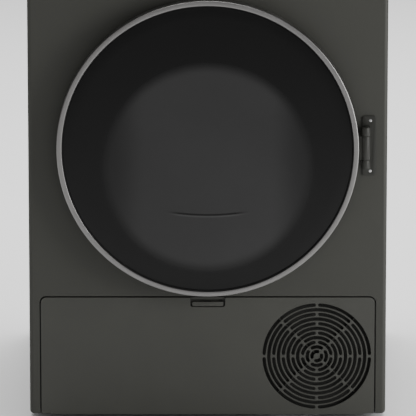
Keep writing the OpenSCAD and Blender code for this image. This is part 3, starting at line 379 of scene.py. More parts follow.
def ranged(nodes, links, value, low, high, start=0.35, end=0.65):
    """A value spread over a range."""
    node = nodes.new("ShaderNodeMapRange")
    node.inputs["From Min"].default_value = start
    node.inputs["From Max"].default_value = end
    node.inputs["To Min"].default_value = low
    node.inputs["To Max"].default_value = high
    links.new(value, node.inputs["Value"])
    return node.outputs["Result"]


def mixed(nodes, links, factor, first, second):
    node = nodes.new("ShaderNodeMix")
    node.data_type = "RGBA"
    for socket, value in ((node.inputs[6], first), (node.inputs[7], second)):
        if isinstance(value, tuple):
            socket.default_value = (*value, 1.0)
        else:
            links.new(value, socket)
    links.new(factor, node.inputs[0])
    return node.outputs[2]


def bumped(nodes, links, shader, height, strength, distance, before=None):
    node = nodes.new("ShaderNodeBump")
    node.inputs["Strength"].default_value = strength
    node.inputs["Distance"].default_value = distance
    links.new(height, node.inputs["Height"])
    if before is not None:
        links.new(before, node.inputs["Normal"])
    links.new(node.outputs["Normal"], shader.inputs["Normal"])
    return node.outputs["Normal"]


def scaled(colour, factor):
    return tuple(min(1.0, c * factor) for c in colour)


def moulded(name, colour, rough, grain=900.0, depth=0.03, spread=0.08, metallic=0.0, coat=0.0,
            specular=0.22):
    """Paint or moulded plastic: a fine grain, faint blotches and handling marks."""
    material, nodes, links, shader, place = new_material(name)
    shader.inputs["Metallic"].default_value = metallic
    shader.inputs["Coat Weight"].default_value = coat
    shader.inputs["Coat Roughness"].default_value = 0.12
    shader.inputs["Specular IOR Level"].default_value = specular
    cloudy = noise(nodes, links, place, 9.0, 4.0)
    fine = noise(nodes, links, place, grain, 2.0)
    tint = mixed(nodes, links, ranged(nodes, links, cloudy, 0, 1), scaled(colour, 1 - spread),
                 scaled(colour, 1 + spread))
    speck = mixed(nodes, links, ranged(nodes, links, fine, 0, 0.5, 0.5, 0.8), tint,
                  scaled(colour, 1.25))
    links.new(speck, shader.inputs["Base Color"])
    worn = noise(nodes, links, place, 26.0, 5.0)
    links.new(ranged(nodes, links, worn, max(rough - 0.03, 0.02), min(rough + 0.04, 1), 0.3, 0.7),
              shader.inputs["Roughness"])
    bumped(nodes, links, shader, fine, 0.35, depth * MM)
    return material


def brushed(name, colour, rough, stretch, grain=700.0, spread=0.1, depth=0.01):
    """Metal with fine lines along one direction."""
    material, nodes, links, shader, place = new_material(name)
    shader.inputs["Metallic"].default_value = 1.0
    lines = noise(nodes, links, place, grain, 3.0, stretch)
    cloudy = noise(nodes, links, place, 14.0, 3.0)
    tint = mixed(nodes, links, ranged(nodes, links, lines, 0, 1), scaled(colour, 1 - spread),
                 scaled(colour, 1 + spread))
    links.new(tint, shader.inputs["Base Color"])
    both = nodes.new("ShaderNodeMath")
    both.operation = "MULTIPLY_ADD"
    links.new(lines, both.inputs[0])
    both.inputs[1].default_value = 0.6
    links.new(cloudy, both.inputs[2])
    links.new(ranged(nodes, links, both.outputs[0], rough - 0.08, rough + 0.1, 0.5, 1.1),
              shader.inputs["Roughness"])
    bumped(nodes, links, shader, lines, 0.3, depth * MM)
    return material


def door_radius(nodes, links, place, centre_z=None):
    """Distance from the door's axis, in metres."""
    shift = nodes.new("ShaderNodeVectorMath")
    shift.operation = "SUBTRACT"
    shift.inputs[1].default_value = (0, 0, DOOR_Z if centre_z is None else centre_z)
    links.new(place, shift.inputs[0])
    flat = nodes.new("ShaderNodeVectorMath")
    flat.operation = "MULTIPLY"
    flat.inputs[1].default_value = (1, 0, 1)
    links.new(shift.outputs[0], flat.inputs[0])
    length = nodes.new("ShaderNodeVectorMath")
    length.operation = "LENGTH"
    links.new(flat.outputs[0], length.inputs[0])
    return length.outputs["Value"]


def turned_metal(name, colour, rough):
    """Satin ring turned about the door's axis, with fine circular lines."""
    material, nodes, links, shader, place = new_material(name)
    shader.inputs["Metallic"].default_value = 1.0
    radius = door_radius(nodes, links, place)
    parts = nodes.new("ShaderNodeSeparateXYZ")
    links.new(place, parts.inputs[0])
    pair = nodes.new("ShaderNodeCombineXYZ")
    links.new(radius, pair.inputs[0])
    links.new(parts.outputs[1], pair.inputs[1])
    lines = noise(nodes, links, pair.outputs[0], 2600.0, 2.0)
    cloudy = noise(nodes, links, place, 22.0, 4.0)
    tint = mixed(nodes, links, ranged(nodes, links, lines, 0, 1), scaled(colour, 0.93),
                 scaled(colour, 1.07))
    links.new(tint, shader.inputs["Base Color"])
    links.new(ranged(nodes, links, cloudy, rough - 0.05, rough + 0.06), shader.inputs["Roughness"])
    bumped(nodes, links, shader, lines, 0.25, 0.006 * MM)
    return material


def banded(nodes, links, value, low, high, soft):
    """One where a value lies between low and high, fading softly to nought outside."""
    rise = nodes.new("ShaderNodeMapRange")
    rise.interpolation_type = "SMOOTHSTEP"
    rise.inputs["From Min"].default_value = low - soft
    rise.inputs["From Max"].default_value = low
    links.new(value, rise.inputs["Value"])
    fall = nodes.new("ShaderNodeMapRange")
    fall.interpolation_type = "SMOOTHSTEP"
    fall.inputs["From Min"].default_value = high
    fall.inputs["From Max"].default_value = high + soft
    fall.inputs["To Min"].default_value = 1.0
    fall.inputs["To Max"].default_value = 0.0
    links.new(value, fall.inputs["Value"])
    both = nodes.new("ShaderNodeMath")
    both.operation = "MULTIPLY"
    links.new(rise.outputs["Result"], both.inputs[0])
    links.new(fall.outputs["Result"], both.inputs[1])
    return both.outputs[0]


def smoked_pane(name):
    """Door pane: black printed border, a lighter smoked centre with a soft edge, and a shallow arc where
    the drum's lower lip shows through, painted as a line of painted shade above a line of painted
    highlight."""
    material, nodes, links, shader, place = new_material(name)
    radius = door_radius(nodes, links, place, DOOR_Z - PANE_DROP)
    dots = noise(nodes, links, place, 1500.0, 1.0)
    streak = noise(nodes, links, place, 7.0, 3.0)
    centre = mixed(nodes, links, ranged(nodes, links, streak, 0, 1), PANE_CENTRE,
                   scaled(PANE_CENTRE, 1.12))
    centre = mixed(nodes, links, ranged(nodes, links, dots, 0, 0.25, 0.45, 0.7), centre,
                   scaled(PANE_CENTRE, 0.8))
    parts = nodes.new("ShaderNodeSeparateXYZ")
    links.new(place, parts.inputs[0])
    arc_radius = door_radius(nodes, links, place, DOOR_Z - ARC_DROP + ARC_R)
    reach = banded(nodes, links, parts.outputs[0], -ARC_HALF, ARC_HALF, 30 * MM)
    # The arc's two lines: a dark one of painted shade, and below it a light one of painted highlight,
    # only near the middle.
    for low, high, shade in ((-1.2 * MM, 0.8 * MM, PANE_BORDER),
                             (2.2 * MM, 3.4 * MM, scaled(PANE_CENTRE, 1.7))):
        line = banded(nodes, links, arc_radius, ARC_R + low, ARC_R + high, 1.1 * MM)
        share = nodes.new("ShaderNodeMath")
        share.operation = "MULTIPLY"
        links.new(line, share.inputs[0])
        links.new(reach, share.inputs[1])
        centre = mixed(nodes, links, share.outputs[0], centre, shade)
    side = banded(nodes, links, parts.outputs[0], -SIDE_CLEAR, SIDE_CLEAR, SIDE_SOFT)
    dim = nodes.new("ShaderNodeMapRange")
    dim.inputs["To Min"].default_value = SIDE_DIM
    dim.inputs["To Max"].default_value = 0.0
    links.new(side, dim.inputs["Value"])
    centre = mixed(nodes, links, dim.outputs["Result"], centre, PANE_BORDER)
    fade = nodes.new("ShaderNodeMapRange")
    fade.interpolation_type = "SMOOTHSTEP"
    fade.inputs["From Min"].default_value = PANE_FADE_R - PANE_FADE_W / 2
    fade.inputs["From Max"].default_value = PANE_FADE_R + PANE_FADE_W / 2
    links.new(radius, fade.inputs["Value"])
    links.new(mixed(nodes, links, fade.outputs["Result"], centre, PANE_BORDER),
              shader.inputs["Base Color"])
    smear = noise(nodes, links, place, 18.0, 5.0)
    links.new(ranged(nodes, links, smear, 0.1, 0.17), shader.inputs["Roughness"])
    shader.inputs["Specular IOR Level"].default_value = 0.2
    bumped(nodes, links, shader, streak, 0.05, 0.2 * MM)
    return material


def drum_metal(name):
    """Stainless drum sheet with a pressed honeycomb."""
    material, nodes, links, shader, place = new_material(name)
    shader.inputs["Metallic"].default_value = 1.0
    parts = nodes.new("ShaderNodeSeparateXYZ")
    links.new(place, parts.inputs[0])
    drop = nodes.new("ShaderNodeMath")
    drop.operation = "SUBTRACT"
    drop.inputs[1].default_value = DRUM_Z
    links.new(parts.outputs[2], drop.inputs[0])
    angle = nodes.new("ShaderNodeMath")
    angle.operation = "ARCTAN2"
    links.new(parts.outputs[0], angle.inputs[0])
    links.new(drop.outputs[0], angle.inputs[1])
    girth = nodes.new("ShaderNodeMath")
    girth.operation = "MULTIPLY"
    girth.inputs[1].default_value = DRUM_R
    links.new(angle.outputs[0], girth.inputs[0])
    pair = nodes.new("ShaderNodeCombineXYZ")
    links.new(girth.outputs[0], pair.inputs[0])
    links.new(parts.outputs[1], pair.inputs[1])
    cells = nodes.new("ShaderNodeTexVoronoi")
    cells.feature = "DISTANCE_TO_EDGE"
    cells.inputs["Scale"].default_value = 34.0
    cells.inputs["Randomness"].default_value = 0.12
    links.new(pair.outputs[0], cells.inputs["Vector"])
    lines = noise(nodes, links, place, 500.0, 3.0, (1, 0.08, 1))
    tint = mixed(nodes, links, ranged(nodes, links, lines, 0, 1), (0.58, 0.59, 0.6),
                 (0.68, 0.69, 0.7))
    links.new(tint, shader.inputs["Base Color"])
    links.new(ranged(nodes, links, lines, 0.2, 0.34), shader.inputs["Roughness"])
    pressed = ranged(nodes, links, cells.outputs["Distance"], 0, 1, 0.0, 0.3)
    first = bumped(nodes, links, shader, pressed, 0.7, 1.6 * MM)
    bumped(nodes, links, shader, lines, 0.2, 0.02 * MM, first)
    return material


def clear_glass(name, colour, rough):
    material, nodes, links, shader, place = new_material(name)
    shader.inputs["Transmission Weight"].default_value = 0.9
    shader.inputs["IOR"].default_value = 1.5
    smear = noise(nodes, links, place, 25.0, 4.0)
    tint = mixed(nodes, links, ranged(nodes, links, smear, 0, 1), scaled(colour, 0.97), colour)
    links.new(tint, shader.inputs["Base Color"])
    links.new(ranged(nodes, links, smear, rough, rough + 0.05), shader.inputs["Roughness"])
    bumped(nodes, links, shader, smear, 0.05, 0.3 * MM)
    return material


def felted(name, colour):
    material, nodes, links, shader, place = new_material(name)
    shader.inputs["Sheen Weight"].default_value = 0.6
    fibres = noise(nodes, links, place, 1300.0, 6.0, (1, 1, 0.4))
    cloudy = noise(nodes, links, place, 60.0, 4.0)
    tint = mixed(nodes, links, ranged(nodes, links, cloudy, 0, 1), scaled(colour, 0.8),
                 scaled(colour, 1.15))
    links.new(tint, shader.inputs["Base Color"])
    links.new(ranged(nodes, links, fibres, 0.85, 1.0), shader.inputs["Roughness"])
    bumped(nodes, links, shader, fibres, 0.8, 0.4 * MM)
    return material


def glowing(name, colour, strength):
    material, nodes, links, shader, place = new_material(name)
    flicker = noise(nodes, links, place, 300.0, 2.0)
    tint = mixed(nodes, links, ranged(nodes, links, flicker, 0, 1), scaled(colour, 0.92), colour)
    links.new(tint, shader.inputs["Base Color"])
    links.new(tint, shader.inputs["Emission Color"])
    shader.inputs["Emission Strength"].default_value = strength
    links.new(ranged(nodes, links, flicker, 0.35, 0.45), shader.inputs["Roughness"])
    return material


PANE_DROP = 31 * MM
PANE_FADE_R = 169 * MM
PANE_FADE_W = 24 * MM
PANE_CENTRE = (0.0265, 0.0265, 0.0265)
PANE_BORDER = (0.0035, 0.0035, 0.0035)
ARC_R = 400 * MM
ARC_DROP = 110.7 * MM
ARC_HALF = 42 * MM
SIDE_CLEAR = 100 * MM
SIDE_SOFT = 60 * MM
SIDE_DIM = 0.6
GRAPHITE = (0.05, 0.0505, 0.0445)

M = {
    "cabinet": moulded("graphite_paint", scaled(GRAPHITE, 0.96), 0.45, 700.0, 0.02, 0.012,
                       specular=0.17),
    "kick": moulded("graphite_kick", scaled(GRAPHITE, 1.06), 0.5, 1100.0, 0.035, 0.04),
    "hinge": moulded("hinge_paint", scaled(GRAPHITE, 0.55), 0.4, 700.0, 0.02, 0.05),
    "fascia": moulded("graphite_fascia", scaled(GRAPHITE, 0.98), 0.46, 1100.0, 0.03, 0.04),
    "worktop": moulded("worktop_laminate", scaled(GRAPHITE, 0.9), 0.36, 420.0, 0.05, 0.02),
    "base": moulded("base_plastic", (0.02, 0.02, 0.021), 0.62, 800.0, 0.06, 0.1),
    "duct": moulded("duct_plastic", (0.16, 0.165, 0.17), 0.58, 700.0, 0.06, 0.06),
    "door_black": moulded("door_black", (0.012, 0.012, 0.012), 0.42, 1000.0, 0.03, 0.1),
    # Near-black sheet of painted shade for the hollow behind the kick grille's slots.
    "painted_shade": moulded("grille_painted_shade", (0.022, 0.022, 0.02), 0.8, 900.0, 0.1, 0.2),
    "rubber": moulded("seal_rubber", (0.014, 0.014, 0.014), 0.72, 600.0, 0.08, 0.15),
    "pale": moulded("pale_plastic", (0.62, 0.63, 0.64), 0.42, 800.0, 0.04, 0.03),
    "tank": moulded("tank_plastic", (0.6, 0.64, 0.66), 0.34, 500.0, 0.04, 0.03),
    "lifter": moulded("lifter_plastic", (0.22, 0.225, 0.23), 0.38, 800.0, 0.03, 0.05),
    "fan": moulded("fan_plastic", (0.018, 0.018, 0.019), 0.46, 800.0, 0.03, 0.1),
    "lever": moulded("lever_green", (0.02, 0.2, 0.13), 0.4, 900.0, 0.03, 0.06),
    "black_paint": moulded("compressor_paint", (0.012, 0.012, 0.013), 0.32, 300.0, 0.1, 0.15,
                           coat=0.5),
    "motor": moulded("motor_paint", (0.16, 0.17, 0.18), 0.4, 500.0, 0.05, 0.08, metallic=0.5),
    "board": moulded("board_green", (0.01, 0.09, 0.035), 0.35, 250.0, 0.15, 0.3),
    "ring": turned_metal("ring_satin", (0.235, 0.23, 0.226), 0.36),
    "trim": brushed("trim_satin", (0.34, 0.335, 0.33), 0.3, (0.05, 1, 1)),
    "steel": brushed("steel_plain", (0.55, 0.55, 0.55), 0.34, (0.1, 1, 1)),
    "galvanised": brushed("galvanised_sheet", (0.3, 0.31, 0.32), 0.48, (1, 1, 0.5), 110.0,
                          0.1, 0.02),
    "fins": brushed("fin_aluminium", (0.6, 0.61, 0.62), 0.38, (1, 1, 0.1)),
    "copper": brushed("copper_tube", (0.62, 0.3, 0.17), 0.3, (0.1, 1, 1)),
    "drum": drum_metal("drum_stainless"),
    "pane": smoked_pane("smoked_pane"),
    "display": moulded("display_pane", (0.004, 0.004, 0.005), 0.08, 1500.0, 0.004, 0.1, coat=0.6),
    "bowl": clear_glass("bowl_glass", (0.9, 0.95, 0.94), 0.03),
    "felt": felted("felt_tan", (0.42, 0.33, 0.22)),
    "glow": glowing("display_glow", (0.75, 0.88, 1.0), 1.1),
    "print": moulded("pale_print", (0.42, 0.42, 0.41), 0.5, 1500.0, 0.005, 0.04),
}

SLOT_MATERIAL = {
    "cabinet_graphite": "hinge", "side_graphite": "cabinet", "front_graphite": "cabinet",
    "galvanised": "galvanised", "worktop_laminate": "worktop", "fascia_plastic": "fascia",
    "kick_plastic": "kick", "base_plastic": "base", "duct_plastic": "duct",
    "ring_metal": "trim", "smoked_glass": "pane", "bowl_glass": "bowl",
    "display_glass": "display", "door_black": "door_black", "seal_rubber": "rubber",
    "felt": "felt", "steel": "steel", "drum_steel": "drum", "lifter_plastic": "lifter",
    "fin_aluminium": "fins", "copper": "copper", "compressor_black": "black_paint",
    "motor_steel": "motor", "fan_plastic": "fan", "belt_rubber": "rubber",
    "tank_plastic": "tank", "pump_plastic": "fan", "lever_plastic": "lever",
    "knob_metal": "trim", "button_metal": "trim", "filter_plastic": "pale",
    "board_green": "board", "foot_rubber": "rubber",
}


def paint(piece, key):
    piece.data.materials.clear()
    piece.data.materials.append(M[key])


def paint_frame():
    """Gives each CAD node the material of its slot in the record."""
    for part in frame["record"]["subparts"]:
        paint(frame["nodes"][part["node"]], SLOT_MATERIAL[part["material_slot"]])


SOFT_EDGES = {
    "base_tray": 1.0, "side_panel_left": 0.5, "side_panel_right": 0.5, "rear_duct_cover": 1.2,
    "bulkhead": 0.8, "exchanger_housing": 0.8, "exchanger_cover": 0.8, "compressor": 1.0,
    "fan_housing": 0.8, "drain_pump": 0.8, "tank_sleeve": 0.5, "mains_inlet": 1.0,
    "door_lock": 0.8, "hinge_bracket": 0.5, "cooling_fan_frame": 0.8, "door_frame": 0.8,
    "door_hook": 0.5, "door_hinge_leaf": 0.6, "drum_lifters": 2.5, "drum_shaft": 0.6,
    "roller_left": 0.8, "roller_right": 0.8, "lever_left": 0.9, "lever_right": 0.9,
    "tank_body": 1.5, "tank_front": 0.8, "lint_filter": 0.7, "foot_front_left": 0.8,
    "foot_front_right": 0.8, "foot_rear_left": 0.8, "foot_rear_right": 0.8,
    "display_window": 0.4, "motor_body": 0.8, "door_bowl": 1.2, "screws": 0.4,
    "control_board": 0.3, "cooling_fan": 0.3, "process_fan": 0.3, "rear_bearing": 0.5,
    "drum_shell": 0.3, "motor_rotor": 0.3,
}


def body_of():
    """Body of each CAD node."""
    return {node: body for body, nodes in frame["record"]["behaviour"]["bodies"].items()
            for node in nodes}


def soften_frame():
    """Rounds the edges of the pieces that keep their CAD shape."""
    bodies = body_of()
    slots = {part["node"]: part["material_slot"] for part in frame["record"]["subparts"]}
    for node, width in SOFT_EDGES.items():
        piece = softened(node, width * MM)
        place(piece, SLOT_MATERIAL[slots[node]], bodies[node], slots[node], node)


def place(piece, key, body, slot, *replaced):
    """Finishes a new piece: material, body and the CAD nodes it stands for; its slot argument is not
    used.
    """
    paint(piece, key)
    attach(piece, body)
    if replaced:
        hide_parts(*replaced)
    return piece


# ---- Cabinet ----

KICK_CORNER_R = 9 * MM
THIN_EDGE = 0.5 * MM
FOOT_EDGE = 0.6 * MM
LOCK_HALF_W = 6 * MM
LOCK_HALF_H = 14 * MM
DRAWER_R = 4 * MM
DISPLAY_R = 5 * MM
SPINDLE_HOLE_R = 6 * MM
BUTTON_R = 8 * MM
BUTTON_GAP = 0.5 * MM


def build_front_panel():
    reach = wrap_reach()
    kick_half = (kick_hi.x - kick_lo.x) / 2 + SEAM
    top = kick_hi.z + SEAM
    corner = KICK_CORNER_R + SEAM
    outline = polygon_shape(
        [(-reach, BASE_Z), (-kick_half, BASE_Z), (-kick_half, top), (kick_half, top),
         (kick_half, BASE_Z), (reach, BASE_Z), (reach, panel_hi.z), (-reach, panel_hi.z)],
        [THIN_EDGE, FOOT_EDGE, corner, corner, FOOT_EDGE, THIN_EDGE, THIN_EDGE, THIN_EDGE], 8)
    lock_x = sum(c.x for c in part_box("door_hook")) / 2
    lock = rect_shape(lock_x - LOCK_HALF_W, lock_x + LOCK_HALF_W, DOOR_Z - LOCK_HALF_H,
                      DOOR_Z + LOCK_HALF_H, 2 * MM)
    mouth = circle_shape(0, DOOR_Z, MOUTH_R, 160)
    levels = [BASE_Z + FOOT_R * (1 - math.sin(math.pi * i / 12)) for i in range(6)]
    panel = plate("front_sheet", [outline, mouth, lock], SHEET, 0.55 * MM, wrap_foot,
                  cuts=wrap_cuts(), levels=levels)
    place(panel, "cabinet", "cabinet", "front_graphite", "front_panel")


def build_fascia():
    reach = wrap_reach()
    outline = rect_shape(-reach, reach, fascia_lo.z, fascia_hi.z, 0.8 * MM, 4)
    drawer = rect_shape(drawer_lo.x - FINE_SEAM, drawer_hi.x + FINE_SEAM,
                        drawer_lo.z - FINE_SEAM, drawer_hi.z + FINE_SEAM, DRAWER_R + FINE_SEAM)
    window = rect_shape(display_lo.x, display_hi.x, display_lo.z, display_hi.z, DISPLAY_R)
    spindle = circle_shape((knob_lo.x + knob_hi.x) / 2, CONTROLS_Z, SPINDLE_HOLE_R, 32)
    holes = [drawer, window, spindle]
    for node in ("power_button", "start_button"):
        lo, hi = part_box(node)
        holes.append(circle_shape((lo.x + hi.x) / 2, CONTROLS_Z, BUTTON_R + BUTTON_GAP, 48))
    fascia = plate("fascia_moulding", [outline] + holes, WALL, 0.8 * MM, wrap_round,
                   cuts=wrap_cuts())
    place(fascia, "fascia", "cabinet", "fascia_plastic", "control_fascia")


def build_worktop():
    outline = rect_shape(worktop_lo.x, worktop_hi.x, worktop_lo.y, worktop_hi.y, EDGE_R)
    top = plate("worktop_board", [outline], worktop_hi.z - worktop_lo.z, 3 * MM,
                lambda u, v, w: Vector((u, v, worktop_hi.z - w)), back_edge=1.2 * MM)
    place(top, "worktop", "cabinet", "worktop_laminate", "worktop")


# ---- Door ----

CROWN_R = 40 * MM
RING_INNER_EDGE = 1.1 * MM
RING_OUTER_EDGE = 1.9 * MM
RING_SKIRT = 3 * MM
PANE_DOME = 1.6 * MM
PANE_EDGE = 1.2 * MM


def build_ring():
    """Bright ring: a slightly crowned face with a skirt behind its outer edge."""
    inner = DOOR_R - RING_W
    back = ring_hi.y
    crown = [(inner, DOOR_Y + 4 * MM), (inner, DOOR_Y + 1.2 * MM)]
    crown += arc(inner + RING_INNER_EDGE, DOOR_Y + 1.3 * MM, RING_INNER_EDGE, 180, 260, 5)
    crown += arc(inner + 4 * MM, DOOR_Y + CROWN_R, CROWN_R, -93, -87, 4)
    crown += arc(DOOR_R - RING_OUTER_EDGE, DOOR_Y + 2 * MM, RING_OUTER_EDGE, -80, 0, 8)
    crown += [(DOOR_R, back - 0.6 * MM), (DOOR_R - 0.6 * MM, back), (DOOR_R - RING_SKIRT, back),
              (DOOR_R - RING_SKIRT, DOOR_Y + 5.5 * MM)]
    ring = sharpen(lathe("door_bezel", crown, (0, DOOR_Z), 224))
    place(ring, "ring", "door", "ring_metal", "door_ring")


def build_pane():
    """Smoked pane, domed by a hair so that it catches the light as real glass does."""
    rim = GLASS_R - PANE_EDGE
    steps = 12
    face = [(rim * i / steps, glass_lo.y + PANE_DOME * (i / steps) ** 2)
            for i in range(steps + 1)]
    y_edge = face[-1][1]
    face += arc(rim, y_edge + PANE_EDGE, PANE_EDGE, -90, 0, 5)[1:]
    face += [(GLASS_R, glass_hi.y), (0.0, glass_hi.y)]
    pane = sharpen(lathe("door_pane", face, (0, DOOR_Z), 224))
    place(pane, "pane", "door", "smoked_glass", "door_glass")


# ---- Controls ----

KNOB_SEGMENTS = 192
KNOB_FLUTES = 48
FLUTE_DEPTH = 0.55 * MM
SCALE_MARKS = 16
SCALE_OUT = 5.5 * MM
BAR_PITCH = 9 * MM
BAR_W = 6 * MM
BAR_HALF_H = 0.7 * MM
DOT_PITCH = 12 * MM
DOT_R = 2 * MM
DOT_LINE = 0.5 * MM
SIGN_DROP = 15 * MM
SIGN_R = 1.9 * MM


def build_buttons():
    for node in ("power_button", "start_button"):
        lo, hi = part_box(node)
        cap = disc_profile(BUTTON_R, lo.y, hi.y, 0.9 * MM)
        button = sharpen(lathe(node + "_cap", cap, ((lo.x + hi.x) / 2, CONTROLS_Z), 64))
        place(button, "trim", node, "button_metal", node)


def knob_rings(bm, x, z, radius, front, back):
    """Rings of the knob's cap, from its middle round its fluted side to its back."""
    profile = [(0.0, front + 0.9 * MM), (radius * 0.78, front + 0.7 * MM),
               (radius * 0.82, front + 0.1 * MM), (radius * 0.86, front),
               (radius * 0.93, front + 0.2 * MM), (radius * 0.965, front + 1.4 * MM)]
    fluted = [(radius * 0.985, front + 2.4 * MM), (radius * 0.995, back - 3 * MM)]
    tail = [(radius, back - 2.4 * MM), (radius, back - 0.6 * MM), (radius - 0.6 * MM, back),
            (0.0, back)]
    rings = []
    for r, y in profile + fluted + tail:
        if r == 0:
            rings.append([bm.verts.new((x, y, z))])
            continue
        depth = FLUTE_DEPTH if (r, y) in fluted else 0
        ring = []
        for i in range(KNOB_SEGMENTS):
            a = 2 * math.pi * i / KNOB_SEGMENTS
            fluted_r = r - depth * (0.5 + 0.5 * math.cos(a * KNOB_FLUTES))
            ring.append(bm.verts.new((x + fluted_r * math.cos(a), y, z + fluted_r * math.sin(a))))
        rings.append(ring)
    return rings


def build_knob():
    x = (knob_lo.x + knob_hi.x) / 2
    z = (knob_lo.z + knob_hi.z) / 2
    radius = (knob_hi.x - knob_lo.x) / 2
    front = knob_lo.y
    bm = bmesh.new()
    rings = knob_rings(bm, x, z, radius, front, FRONT_Y - 0.5 * MM)
    for a, b in zip(rings, rings[1:]):
        for i in range(KNOB_SEGMENTS):
            turned_face(bm, a, b, i, (i + 1) % KNOB_SEGMENTS)
    knob = sharpen(finish_mesh(bm, "knob_cap"), 30)
    place(knob, "trim", "programme_knob", "knob_metal", "programme_knob")
    line = plate("knob_pointer", [rect_shape(x - 0.8 * MM, x + 0.8 * MM, z + radius * 0.42,
                                             z + radius * 0.74, 0.7 * MM, 4)],
                 0.5 * MM, 0.15 * MM, front_at(front + 0.45 * MM))
    place(line, "print", "programme_knob", "knob_metal")
    marks = []
    for i in range(SCALE_MARKS):
        a = math.radians(90 - 360 / SCALE_MARKS * i)
        r = radius + SCALE_OUT
        mark_r = 1.1 * MM if i % 4 == 0 else 0.7 * MM
        dot = disc_profile(mark_r, FRONT_Y - 0.12 * MM, FRONT_Y + 0.3 * MM, 0.05 * MM, 2)
        marks.append(lathe("mark_%d" % i, dot, (x + r * math.cos(a), z + r * math.sin(a)), 20))
    scale = join("knob_scale", marks)
    place(scale, "print", "cabinet", "fascia_plastic")


def ring_mark(name, x, z, radius, depth, edge, y, steps):
    """Thin printed circle."""
    shapes = [circle_shape(x, z, radius, steps), circle_shape(x, z, radius - DOT_LINE, steps)]
    return plate(name, shapes, depth, edge, front_at(y))


def build_display():
    """Generic lit marks on the display window, and printed marks by the buttons."""
    y = display_lo.y - 0.02 * MM
    marks = []
    for i in range(5):
        x = display_lo.x + 20 * MM + i * BAR_PITCH
        bar = rect_shape(x, x + BAR_W, CONTROLS_Z - BAR_HALF_H, CONTROLS_Z + BAR_HALF_H,
                         0.6 * MM, 3)
        marks.append(plate("bar_%d" % i, [bar], 0.1 * MM, 0.02 * MM, front_at(y)))
    for i in range(6):
        x = display_lo.x + 88 * MM + i * DOT_PITCH
        marks.append(ring_mark("dot_%d" % i, x, CONTROLS_Z, DOT_R, 0.1 * MM, 0.02 * MM, y, 28))
    place(join("display_marks", marks), "glow", "cabinet", "display_glass")

    y = FRONT_Y - 0.1 * MM
    z = CONTROLS_Z - SIGN_DROP
    lo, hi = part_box("power_button")
    ring = ring_mark("sign_ring", (lo.x + hi.x) / 2, z, SIGN_R, 0.3 * MM, 0.03 * MM, y, 32)
    lo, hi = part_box("start_button")
    x = (lo.x + hi.x) / 2
    triangle = [(x - 1.4 * MM, z - 1.8 * MM), (x + 1.8 * MM, z), (x - 1.4 * MM, z + 1.8 * MM)]
    arrow = plate("sign_triangle", [polygon_shape(triangle, [0.2 * MM] * 3, 3)],
                  0.3 * MM, 0.03 * MM, front_at(y))
    place(join("button_signs", [ring, arrow]), "print", "cabinet", "fascia_plastic")


# ---- Kick panel ----

KICK_T = 3 * MM
KICK_RIM = 12 * MM
RIM_GAP = 0.4 * MM
LIP_DROP = 1.5 * MM
LIP_IN = 16 * MM
LIP_SLOPE = 2 * MM
POCKET_SIDE = 2.8 * MM
POCKET_R = 4 * MM
POCKET_FLARE = 1.2 * MM
POCKET_DEPTH = 8.4 * MM
LATCH_SEAM = 1 * MM
LATCH_T = 4 * MM
STEM_X = 12 * MM
STEM_Z = 3 * MM
STEM_GAP = 0.8 * MM
GRILLE_RINGS = 11
SLOT_PITCH = 8 * MM
SLOT_W = 5.5 * MM
SPOKE_W = 3.9 * MM
RIB_HALF_T = 0.9 * MM
RIB_Y = FRONT_Y + 7.5 * MM
# Depth of the dark disc of painted shade behind the grille.
SHADE_DISC_Y = FRONT_Y + 13.2 * MM
BARREL_R = 6 * MM
BARREL_BORE_R = 3.1 * MM
BARREL_L = 20 * MM
BARREL_IN = 40 * MM
WEB_HALF_T = 3 * MM
STRIP_GAP = 0.3 * MM


def grille_slots():
    """Rings of round-ended slots; their spokes alternate between straight and diagonal."""
    shapes = []
    for k in range(1, GRILLE_RINGS + 1):
        radius = k * SLOT_PITCH
        half = SLOT_W / 2
        spokes = [45, 225] if k == 1 else [0, 90, 180, 270] if k % 2 else [45, 135, 225, 315]
        gap = math.degrees((SPOKE_W / 2 + half) / radius)
        for i, start in enumerate(spokes):
            end = spokes[(i + 1) % len(spokes)] + (360 if i == len(spokes) - 1 else 0)
            shapes.append(slot_shape(GRILLE_X, GRILLE_Z, radius, half, start + gap, end - gap))
    return shapes


def grille_ribs():
    """Two diagonal ribs behind the slots."""
    length = GRILLE_RINGS * SLOT_PITCH + 2 * MM
    ribs = []
    for turn in (45, -45):
        along = Vector((math.cos(math.radians(turn)), math.sin(math.radians(turn))))
        across = Vector((-along.y, along.x)) * RIB_HALF_T
        middle = Vector((GRILLE_X, GRILLE_Z))
        quad = [middle - along * length - across, middle + along * length - across,
                middle + along * length + across, middle - along * length + across]
        ribs.append(plate("grille_rib", [polygon_shape(quad, [0.2 * MM] * 4, 2)], 7 * MM,
                          0.3 * MM, front_at(RIB_Y)))
    return ribs


def across_at(x, y, z):
    """Mapping for a plate that lies across the machine, its face at x."""
    return lambda u, v, w: Vector((x + w, y + u, z + v))


def kick_barrels():
    """Barrels that turn on the base's pins, each joined to the face by a web."""
    hinge = next(joint for joint in frame["record"]["behaviour"]["joints"]
                 if joint["name"] == "kick_panel_hinge")
    y, z = hinge["pos_m"][1:]
    tube = [circle_shape(0, 0, BARREL_R, 48), circle_shape(0, 0, BARREL_BORE_R, 40)]
    web = rect_shape(FRONT_Y + 2.5 * MM - y, -4.5 * MM, -WEB_HALF_T, WEB_HALF_T, 0.3 * MM, 3)
    pieces = []
    for side in (-1, 1):
        across = across_at(side * (kick_hi.x - BARREL_IN) - BARREL_L / 2, y, z)
        pieces.append(plate("kick_barrel", tube, BARREL_L, 0.5 * MM, across, back_edge=0.5 * MM))
        pieces.append(plate("kick_web", [web], BARREL_L, 0.3 * MM, across, back_edge=0.3 * MM))
    return pieces


